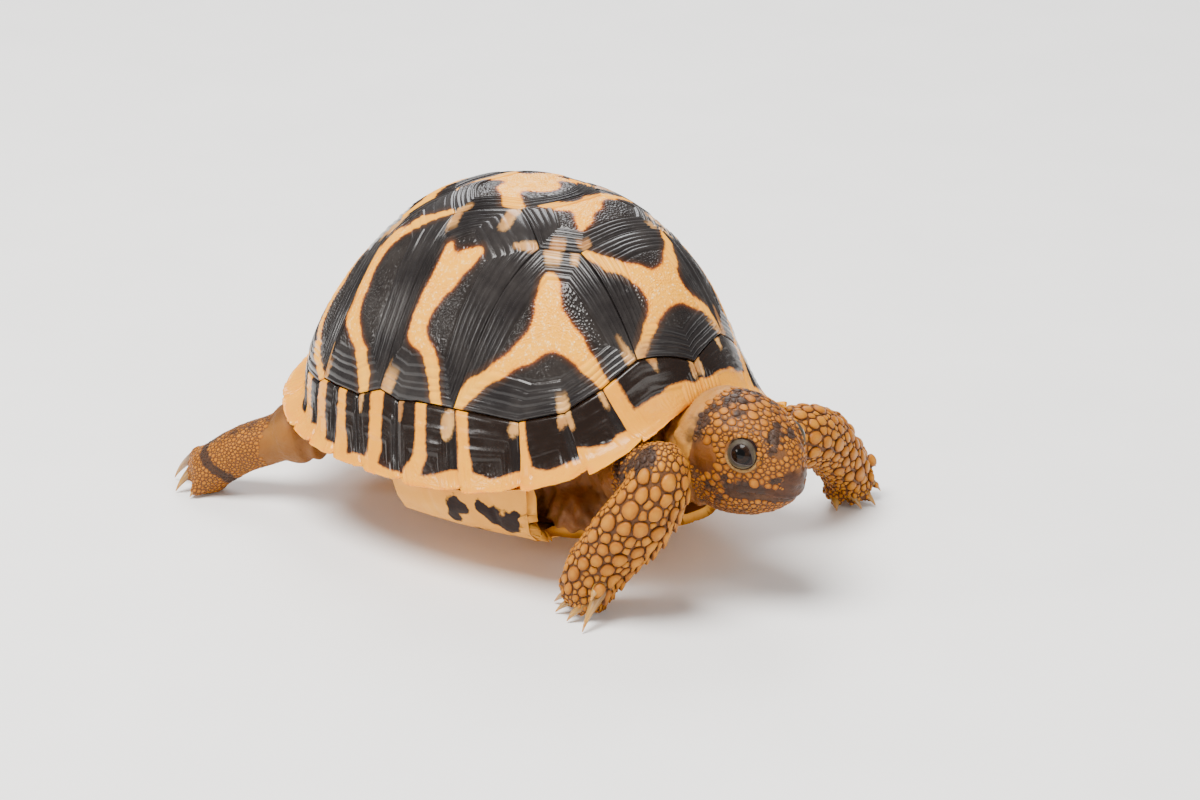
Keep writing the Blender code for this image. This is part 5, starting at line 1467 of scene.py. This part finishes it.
def add_eyes():
    ball_finish, skin_of_lid = eyeball_finish(), lid_finish()
    for side, name in ((1, "eye_left"), (-1, "eye_right")):
        reach = np.linspace(0, EYE_BALL * math.pi * 0.93, 44)[1:]
        reach = EYE_BALL * math.pi * 0.93 * (reach / reach[-1]) ** 1.25
        turn = np.arange(64) / 64 * 2 * math.pi * side
        reach, turn = np.meshgrid(reach, turn, indexing="ij")
        points, faces = loft(on_ball(side, reach, turn, 2.79 + 0.10 * np.exp(-(reach / 0.9) ** 2)))
        points[-2] = on_ball(side, np.zeros(1), np.zeros(1), np.full(1, 2.89))[0]
        points[-1] = on_ball(side, np.full(1, EYE_BALL * math.pi), np.zeros(1), np.full(1, 2.79))[0]
        ways = np.concatenate([reach.ravel(), [0.0, EYE_BALL * math.pi]])
        quads, tris = ([face for face in faces if len(face) == corners] for corners in (4, 3))
        new_piece(name + "_ball", points, quads, tris, {"reach": ways}, ball_finish, [name])
        turn = np.arange(LID_SIDES) / LID_SIDES * 2 * math.pi
        corner = (turn + math.radians(38) + math.pi) % (2 * math.pi) - math.pi
        inner = 1.38 + 0.86 * np.exp(-np.abs(corner / 0.42) ** 1.4)
        inner = inner - 0.12 * np.maximum(np.sin(turn), 0)
        outer = np.maximum(2.42 - 0.10 * np.maximum(np.sin(turn + 0.7), 0), inner + 0.26)
        rows, lower, shares = [], [], []
        below = smoothstep(0.25, -0.35, np.sin(turn - 0.3))
        for share, rise in LID_ROWS:
            reach = inner + (outer - inner) * share
            wrinkle = 0.012 * np.sin(share * 15 + 1.2 * np.sin(turn * 3)) * math.sin(math.pi * share)
            rows.append(on_ball(side, reach, turn, EYE_BALL + rise + wrinkle))
            lower.append(below * math.exp(-((share - 0.70) / 0.14) ** 2))
            shares.append(np.full(LID_SIDES, share))
        index = np.arange(len(rows) * LID_SIDES).reshape(len(rows), LID_SIDES)
        after = np.roll(index, -1, axis=1)
        faces = np.stack([index[:-1], after[:-1], after[1:], index[1:]], -1).reshape(-1, 4)
        faces = faces if side > 0 else faces[:, ::-1]
        new_piece(name + "_lids", np.concatenate(rows), faces, (),
                  {"lower": np.concatenate(lower), "share": np.concatenate(shares)}, skin_of_lid, ())


# Claws

CLAW_CLEAR = 0.00002               # how far claws stay over the floor, in metres


def claw_finish():
    finish, shader, tree = new_finish("claw horn", Roughness=0.28, Coat_Weight=0.3, Subsurface_Weight=0.5,
                                      Subsurface_Radius=(1.0, 0.7, 0.35), Subsurface_Scale=0.0009)
    along = attribute(tree, "along")
    streak = speckle(tree, 500, 3.0, stretch=(1, 1, 0.3))
    colour = ramp(tree, along, [
        (0.0, (0.10, 0.040, 0.007)), (0.35, (0.26, 0.125, 0.020)), (0.7, (0.38, 0.205, 0.040)),
        (1.0, (0.40, 0.17, 0.014))])
    colour = blend(tree, between(tree, streak, 0.45, 0.7, 0.0, 0.35), colour, (0.26, 0.15, 0.05))
    tree.links.new(colour, shader.inputs["Base Color"])
    bump(tree, shader, streak, 0.25, 0.0002)
    return finish


def claw_tree(finish):
    """Geometry Nodes: one curved claw from its root to its tip."""
    tree = bpy.data.node_groups.new("claw", "GeometryNodeTree")
    face = tree.interface
    for name, kind in (("Root", "NodeSocketVector"), ("Tip", "NodeSocketVector"), ("Bow", "NodeSocketVector"),
                       ("Thickness", "NodeSocketFloat"), ("Flatness", "NodeSocketFloat")):
        face.new_socket(name, in_out="INPUT", socket_type=kind)
    face.new_socket("Geometry", in_out="OUTPUT", socket_type="NodeSocketGeometry")
    nodes, links = tree.nodes, tree.links
    given, result = nodes.new("NodeGroupInput"), nodes.new("NodeGroupOutput")

    def vector(operation, one, other, scale=None):
        node = nodes.new("ShaderNodeVectorMath")
        node.operation = operation
        for socket, value in zip(node.inputs, (one, other)):
            if hasattr(value, "links"):
                links.new(value, socket)
        if scale is not None:
            node.inputs["Scale"].default_value = scale
        return node.outputs[0]

    way = vector("SUBTRACT", given.outputs["Tip"], given.outputs["Root"])
    handles = [vector("ADD", vector("ADD", given.outputs["Root"], vector("SCALE", way, None, share)),
                      given.outputs["Bow"]) for share in (0.4, 0.78)]
    curve = nodes.new("GeometryNodeCurvePrimitiveBezierSegment")
    curve.inputs["Resolution"].default_value = 22
    for socket, value in (("Start", given.outputs["Root"]), ("Start Handle", handles[0]),
                          ("End Handle", handles[1]), ("End", given.outputs["Tip"])):
        links.new(value, curve.inputs[socket])
    place = nodes.new("GeometryNodeSplineParameter")
    taper = maths(tree, "SUBTRACT", 1.0, maths(tree, "POWER", place.outputs["Factor"], 1.9))
    taper = maths(tree, "ADD", maths(tree, "MULTIPLY", taper, 0.94), 0.06)
    width = maths(tree, "MULTIPLY", taper, given.outputs["Thickness"])
    stored = nodes.new("GeometryNodeStoreNamedAttribute")
    stored.data_type, stored.domain = "FLOAT", "POINT"
    stored.inputs["Name"].default_value = "along"
    links.new(curve.outputs[0], stored.inputs["Geometry"])
    links.new(place.outputs["Factor"], stored.inputs["Value"])
    ring = nodes.new("GeometryNodeCurvePrimitiveCircle")
    ring.inputs["Resolution"].default_value = 18
    ring.inputs["Radius"].default_value = 1.0
    squash = nodes.new("GeometryNodeTransform")
    sizes = nodes.new("ShaderNodeCombineXYZ")
    sizes.inputs["X"].default_value = sizes.inputs["Z"].default_value = 1.0
    links.new(given.outputs["Flatness"], sizes.inputs["Y"])
    links.new(ring.outputs[0], squash.inputs["Geometry"])
    links.new(sizes.outputs[0], squash.inputs["Scale"])
    body = nodes.new("GeometryNodeCurveToMesh")
    body.inputs["Fill Caps"].default_value = True
    links.new(stored.outputs[0], body.inputs["Curve"])
    links.new(squash.outputs[0], body.inputs["Profile Curve"])
    links.new(width, body.inputs["Scale"])
    smooth = nodes.new("GeometryNodeSetShadeSmooth")
    whole, painted = nodes.new("GeometryNodeRealizeInstances"), nodes.new("GeometryNodeSetMaterial")
    painted.inputs["Material"].default_value = finish
    for source, node in ((body, smooth), (smooth, whole), (whole, painted), (painted, result)):
        links.new(source.outputs[0], node.inputs[0])
    return tree


def add_claws():
    finish = claw_finish()
    tree = claw_tree(finish)
    sockets = {item.name: item.identifier for item in tree.interface.items_tree if item.in_out == "INPUT"}
    for foot in CLAWS:
        for number, (exit_spot, tip) in enumerate(claw_exits(foot), 1):
            root = Vector((exit_spot - unit(tip - exit_spot) * 0.9 + MIDDLE) * MM)
            tip = Vector((tip + MIDDLE) * MM)
            carrier = add_object("claw_maker", bpy.data.meshes.new("claw_maker"))
            maker = carrier.modifiers.new("claw", "NODES")
            maker.node_group = tree
            length = (tip - root).length
            for name, value in (("Root", tuple(root)), ("Tip", tuple(tip)), ("Bow", (0, 0, 0.13 * length)),
                                ("Thickness", min(1.2 * MM, 0.33 * length)), ("Flatness", 0.78)):
                maker[sockets[name]] = value
            bpy.context.view_layer.update()
            name = f"claw_{foot}_{number}"
            shape = made_mesh(carrier)
            bpy.data.objects.remove(carrier)
            shape.name = name + "_horn"
            flat = read_array(shape.vertices, "co", 3)
            flat[:, 2] = np.maximum(flat[:, 2], CLAW_CLEAR)
            shape.vertices.foreach_set("co", flat.ravel())
            settle(add_object(name + "_horn", shape), [name])


# Scales of the head and limbs

GAP = 0.045                        # half the crack between two scales, in mm
STRETCH = 1.22                     # how much longer than wide scales are
BAKE_PATCH = 0.003                 # size of a scale's patch on the bake picture
DOME = [(1.0, -0.10), (0.98, 0.32), (0.88, 0.66), (0.60, 0.93)]     # (share of the way out, of the height)


def read_surface(piece):
    mesh = piece.data
    points, normals, _ = mesh_arrays(mesh)
    mesh.calc_loop_triangles()
    return points / MM - MIDDLE, normals, read_array(mesh.loop_triangles, "vertices", 3, np.int32)


def strew(surface, mask, size_of, passes=(1.0, 0.86, 0.55, 0.38), crowding=0.95):
    """Places for scales, the big ones first, no two nearer than their sizes allow."""
    points, normals, tris = surface
    tris = tris[mask[tris].all(axis=1)]
    a, b, c = (points[tris[:, k]] for k in range(3))
    areas = np.linalg.norm(np.cross(b - a, c - a), axis=1) / 2
    sizes = size_of((a + b + c) / 3, unit(normals[tris[:, 0]]))
    chance = areas / sizes ** 2
    most = chance.sum() * 3.0
    chance = chance / chance.sum()
    kept = np.zeros((int(most * 3), 7))
    count = 0
    for share in passes:
        wanted = int(most / share ** 1.7)
        pick = dice.choice(len(tris), wanted, p=chance)
        u, v = dice.random((2, wanted))
        u, v = np.where(u + v > 1, 1 - u, u), np.where(u + v > 1, 1 - v, v)
        w = (1 - u - v)[:, None]
        u, v = u[:, None], v[:, None]
        spots = points[tris[pick, 0]] * w + points[tris[pick, 1]] * u + points[tris[pick, 2]] * v
        outs = unit(normals[tris[pick, 0]] * w + normals[tris[pick, 1]] * u + normals[tris[pick, 2]] * v)
        radii = size_of(spots, outs) * share * (0.88 + 0.24 * dice.random(wanted))
        lies = part_of(spots)[3]
        lies = unit(lies - outs * (lies * outs).sum(1, keepdims=True))
        for spot, out, lie, radius in zip(spots, outs, lies, radii):
            away = kept[:count, :3] - spot
            along = away @ lie
            gap = (away * away).sum(1) - along * along * (1 - 1 / STRETCH ** 2)
            if count == 0 or (gap > (crowding * (kept[:count, 6] + radius)) ** 2).all():
                kept[count, :3], kept[count, 3:6], kept[count, 6] = spot, out, radius
                count += 1
                if count == len(kept):
                    return kept
    return kept[:count]


def scale_reach(spots, lie, across, radii, rays):
    """How far each scale reaches along its rays before it meets its neighbours."""
    reach = np.repeat(radii[:, None] * 1.55, len(rays), axis=1)
    for k in range(len(spots)):
        away = spots - spots[k]
        near = np.flatnonzero((away * away).sum(1) < (2.6 * (radii + radii[k])) ** 2)
        near = near[near != k]
        if len(near) == 0:
            continue
        flat = np.stack([away[near] @ lie[k] / STRETCH, away[near] @ across[k]], 1)
        gap = np.maximum(np.linalg.norm(flat, axis=1), 1e-6)
        border = (gap ** 2 + radii[k] ** 2 - radii[near] ** 2) / (2 * gap)
        border = np.maximum(border, 0.35 * radii[k])
        facing = rays @ (flat / gap[:, None]).T
        limit = np.where(facing > 0.08, border / np.maximum(facing, 0.08), 99.0)
        limit = np.concatenate([limit, reach[k][:, None]], axis=1)
        reach[k] = (limit ** -9.0).sum(1) ** (-1 / 9.0)
    return np.maximum(reach - GAP, 0.3 * radii[:, None])


def add_bake_map(piece, part, along, turn, rays):
    """Each scale as a small patch at its root's place: round the limb across, along it upwards."""
    names = ["head", "neck", *LIMBS, "trunk"]
    lane = np.array([names.index(p) for p in part]) / len(names)
    root = np.stack([0.01 + 0.98 * (turn / (2 * math.pi) + 0.5), lane + (0.05 + 0.9 * along) / len(names)], 1)
    patch = np.concatenate([np.concatenate([rays * share for share, _ in DOME]), np.zeros((2, 2))])
    uv = (root[:, None] + BAKE_PATCH / 2 * patch[None]).reshape(-1, 2)
    corners = read_array(piece.data.loops, "vertex_index", kind=np.int32)
    layer = piece.data.uv_layers.new(name="OFBake")
    layer.data.foreach_set("uv", uv[corners].astype(np.float32).ravel())


def add_scales(name, surface, skin_tree, mask, size_of, slot, finish, sides=12, height=0.34, stand_out=None,
               steep=0.42, **strewing):
    """Closed domes that meet their neighbours along straight cracks, as a tortoise's scales do."""
    sites = strew(surface, mask, size_of, **strewing)
    spots, outs, radii = sites[:, :3], sites[:, 3:6], sites[:, 6]
    count = len(sites)
    part, along, turn, lie = part_of(spots)
    lie = unit(lie - outs * (lie * outs).sum(1, keepdims=True))
    across = np.cross(outs, lie)
    ways = np.arange(sides) / sides * 2 * math.pi
    rays = np.stack([np.cos(ways), np.sin(ways)], 1)
    reach = scale_reach(spots, lie, across, radii, rays)
    stand = np.zeros(count) if stand_out is None else stand_out(spots, outs)
    flat = reach[..., None] * rays
    flat[..., 0] *= STRETCH * (1 + 0.55 * stand[:, None] * (rays[:, 0] > 0) * rays[:, 0] ** 3)
    flat[..., 1] *= 1 - 0.45 * stand[:, None] * np.maximum(rays[:, 0], 0) ** 2
    base = spots[:, None] + flat[..., :1] * lie[:, None] + flat[..., 1:] * across[:, None]
    drop = np.zeros((count, sides))
    flat_base = base.reshape(-1, 3)
    for k, spot in enumerate(flat_base):
        place = skin_tree.find_nearest(Vector(spot))[0]
        drop.flat[k] = (np.array(place) - spot) @ outs[k // sides]
    drop = np.clip(drop, -0.5 * reach, 0.3 * reach)
    tall = np.minimum(steep * radii, height) * (0.85 + 0.3 * dice.random(count))
    lean = stand[:, None] * 0.62 * np.maximum(rays[:, 0], 0) ** 1.5 * np.minimum(radii[:, None] / 0.7, 1)
    rings = []
    for share, rise in DOME:
        level = drop * share ** 2 + tall[:, None] * rise + lean * share * (rise > 0)
        ring = spots[:, None] + (base - spots[:, None]) * share + outs[:, None] * level[..., None]
        rings.append(ring)
    top = spots + outs * (tall + 0.05 * stand)[:, None]
    bottom = spots - outs * 0.12
    per = len(DOME) * sides + 2
    points = np.concatenate([np.stack(rings, 1).reshape(count, -1, 3), top[:, None], bottom[:, None]], 1)
    points[..., 2] = np.maximum(points[..., 2], 0.0)
    index = np.arange(len(DOME) * sides).reshape(len(DOME), sides)
    after = np.roll(index, -1, axis=1)
    quads = np.stack([index[:-1], after[:-1], after[1:], index[1:]], -1).reshape(-1, 4)
    crown, root = len(DOME) * sides, len(DOME) * sides + 1
    tris = [(crown, a, b) for a, b in zip(index[-1], after[-1])]
    tris += [(root, b, a) for a, b in zip(index[0], after[0])]
    start = (np.arange(count) * per)[:, None, None]
    quads = (quads[None] + start).reshape(-1, 4)
    tris = (np.array(tris)[None] + start).reshape(-1, 3)
    rise = np.concatenate([np.repeat([max(r, 0) * (1 - 0.5 * (s > 0.95)) for s, r in DOME], sides),
                           [1.0, 0.0]])
    whole = points.reshape(-1, 3)
    values = skin_values(whole)
    own = skin_values(spots)
    # dark and warm carry the markings and tones and, on the head, the painted shade under the jaw
    for key in ("dark", "warm"):
        values[key] = 0.45 * values[key] + 0.55 * np.repeat(own[key], per)
    values = {key: values[key] for key in ("dark", "warm", "shade")}
    values["rise"] = np.tile(rise, count)
    values["tone"] = np.repeat(dice.random(count), per)
    piece = new_piece(name, whole, quads, tris, values, finish, ())
    add_bake_map(piece, part, along, turn, rays)


def scale_finish(name, pale, warm, rim, crack):
    finish, shader, tree = new_finish(name, Specular_IOR_Level=0.18, Subsurface_Weight=0.1,
                                      Subsurface_Radius=(1.0, 0.5, 0.25), Subsurface_Scale=0.0006)
    pale_middle = tuple(min(1.0, part * grow) for part, grow in zip(pale, (1.2, 1.4, 2.0)))
    fine = speckle(tree, 1300, 4.0)
    rise = attribute(tree, "rise")
    tone = maths(tree, "ADD", maths(tree, "MULTIPLY", attribute(tree, "tone"), 0.55),
                 maths(tree, "MULTIPLY", attribute(tree, "warm"), 0.5))
    tone = maths(tree, "ADD", tone, maths(tree, "MULTIPLY", attribute(tree, "shade"), 0.25))
    colour = ramp(tree, tone, [(0.15, pale), (0.95, warm)])
    colour = blend(tree, between(tree, speckle(tree, 420, 4.0), 0.45, 0.75, 0.0, 0.5), colour, rim)
    colour = blend(tree, between(tree, rise, 0.90, 1.0, 0.0, 0.45), colour, pale_middle)
    colour = blend(tree, between(tree, rise, 0.80, 0.35, 0.0, 0.85), colour, rim)
    colour = blend(tree, between(tree, rise, 0.40, 0.05), colour, crack)
    # dark: the skin's markings, and on the head's underside the painted shade under the jaw
    marks_and_shade = attribute(tree, "dark")
    uneven = between(tree, speckle(tree, 700, 4.0), 0.2, 0.8, -0.25, 0.25)
    dark = between(tree, maths(tree, "ADD", marks_and_shade, uneven), 0.35, 0.75)
    colour = blend(tree, dark, colour,
                   ramp(tree, fine, [(0.3, (0.020, 0.011, 0.008)), (0.7, (0.060, 0.030, 0.018))]))
    tree.links.new(colour, shader.inputs["Base Color"])
    tree.links.new(between(tree, fine, 0.3, 0.7, 0.36, 0.56), shader.inputs["Roughness"])
    bump(tree, shader, fine, 0.35, 0.0002)
    return finish


def size_on_head(points, outs):
    half = folded(points)
    size = np.full(len(points), 0.54)
    size = size + 0.14 * smoothstep(26.5, 29.0, half[:, 2]) * smoothstep(52.0, 48.0, half[:, 0])
    size = size - 0.16 * smoothstep(52.0, 54.0, half[:, 0]) - 0.22 * smoothstep(44.6, 42.8, half[:, 0])
    _, off = eye_axes(points)
    size = size - 0.16 * smoothstep(4.4, 3.0, off) * (half[:, 1] > 2.5)
    size = size - 0.14 * smoothstep(19.5, 17.0, half[:, 2])
    return np.maximum(size * (0.85 + 0.3 * noise(points, 1.8, 61)), 0.26)


def bare_on_head(points):
    """Where the head has no scales: lids, ears, beak and mouth."""
    half = folded(points)
    along_eye, off = eye_axes(points)
    gap, where, nearest = path_distance(half, MOUTH)
    above = half[:, 2] - nearest[:, 2]
    brow = smoothstep(23.6, 25.4, half[:, 2] + 0.5 * (half[:, 0] - 49.6))
    bare = (off < 2.85 - 0.55 * brow) & (along_eye > 1)
    bare |= np.linalg.norm((half - EAR) / (1, 1, 0.92), axis=1) < EAR_SIZE
    bare |= (gap < 1.55) & (above > 0) & (where > 0.5)
    bare |= (gap < 1.15) & (above <= 0) & (where > 0.5)
    bare |= gap < 0.4
    bare |= np.linalg.norm(half - np.array((55.7, 0.7, 20.4)), axis=1) < 1.9
    bare |= np.linalg.norm(half - np.array((54.4, 2.1, 24.2)), axis=1) < 0.95
    return bare


def size_on_forearm(towards, small, big, low=4.0, high=23.5):
    towards = np.array(towards) / np.linalg.norm(towards)

    def size(points, outs):
        facing = smoothstep(-0.15, 0.55, outs @ towards)
        rise = points[:, 2]
        level = smoothstep(low - 2.5, low + 2.0, rise) * smoothstep(high + 2.5, high - 2.0, rise)
        result = small + (big - small) * facing * level
        result = result * (0.70 + 0.60 * noise(points, 2.2, 62))
        return np.maximum(result, 0.27)
    return size


def add_coat(skin):
    surface = read_surface(skin)
    points, _, tris = surface
    skin_tree = BVHTree.FromPolygons(points.tolist(), tris.tolist())
    part = part_of(points)[0]
    hidden = ((points[:, 0] / 34.5) ** 2 + (points[:, 1] / 26.0) ** 2 < 1) & (points[:, 0] < 33.5)
    sole = points[:, 2] < 0.25
    tan = ((0.44, 0.165, 0.010), (0.29, 0.090, 0.005), (0.20, 0.056, 0.004), (0.090, 0.030, 0.006))
    fore = scale_finish("foreleg scales", *tan)
    rear = scale_finish("rear leg scales", (0.42, 0.155, 0.012), (0.30, 0.098, 0.007), (0.23, 0.070, 0.006),
                        (0.13, 0.038, 0.005))
    head = scale_finish("head scales", (0.42, 0.150, 0.010), (0.25, 0.074, 0.005), (0.14, 0.038, 0.003),
                        (0.045, 0.014, 0.003))

    def proud(points, outs):
        facing = smoothstep(0.15, 0.7, outs @ np.array((0.66, 0.70, 0.1)))
        return facing * smoothstep(21.0, 17.0, points[:, 2])

    mask = (part == "head") & ~bare_on_head(points) & (points[:, 0] > 42.3)
    add_scales("scales_head", surface, skin_tree, mask, size_on_head, "skin", head, sides=12, height=0.17,
               steep=0.34)
    mask = (part == "leg_front_right") & ~hidden & ~sole
    add_scales("scales_foreleg_right", surface, skin_tree, mask,
               size_on_forearm((0.80, -0.45, 0.1), 0.36, 0.98), "foreleg_skin", fore,
               sides=14, height=0.60, steep=0.55, stand_out=proud)
    mask = (part == "upper_arm_right") & ~hidden & (points[:, 0] > 34.0)
    add_scales("scales_upper_arm_right", surface, skin_tree, mask,
               size_on_forearm((0.2, -0.6, 0.7), 0.30, 0.34), "foreleg_skin", fore,
               sides=12, height=0.30)
    mask = (part == "leg_front_left") & ~hidden & ~sole
    add_scales("scales_foreleg_left", surface, skin_tree, mask,
               size_on_forearm((0.85, -0.1, 0.5), 0.38, 0.98), "foreleg_skin", fore,
               sides=14, height=0.50, steep=0.50)
    for side in ("right", "left"):
        mask = (part == "leg_rear_" + side) & ~hidden & ~sole & ((points[:, 0] < -28.0) | (side == "left"))
        add_scales("scales_rear_" + side, surface, skin_tree, mask,
                   lambda points, outs: 0.30 * (0.75 + 0.5 * noise(points, 2.0, 63)), "skin", rear,
                   sides=8, height=0.07, steep=0.36)
    mask = (part == "tail") & ~hidden
    add_scales("scales_tail", surface, skin_tree, mask, lambda points, outs: np.full(len(points), 0.36),
               "skin", rear, sides=10, height=0.2)


add_camera()
add_studio()
add_carapace()
add_marginals()
add_plastron()
skin = add_skin()
add_eyes()
add_claws()
add_coat(skin)
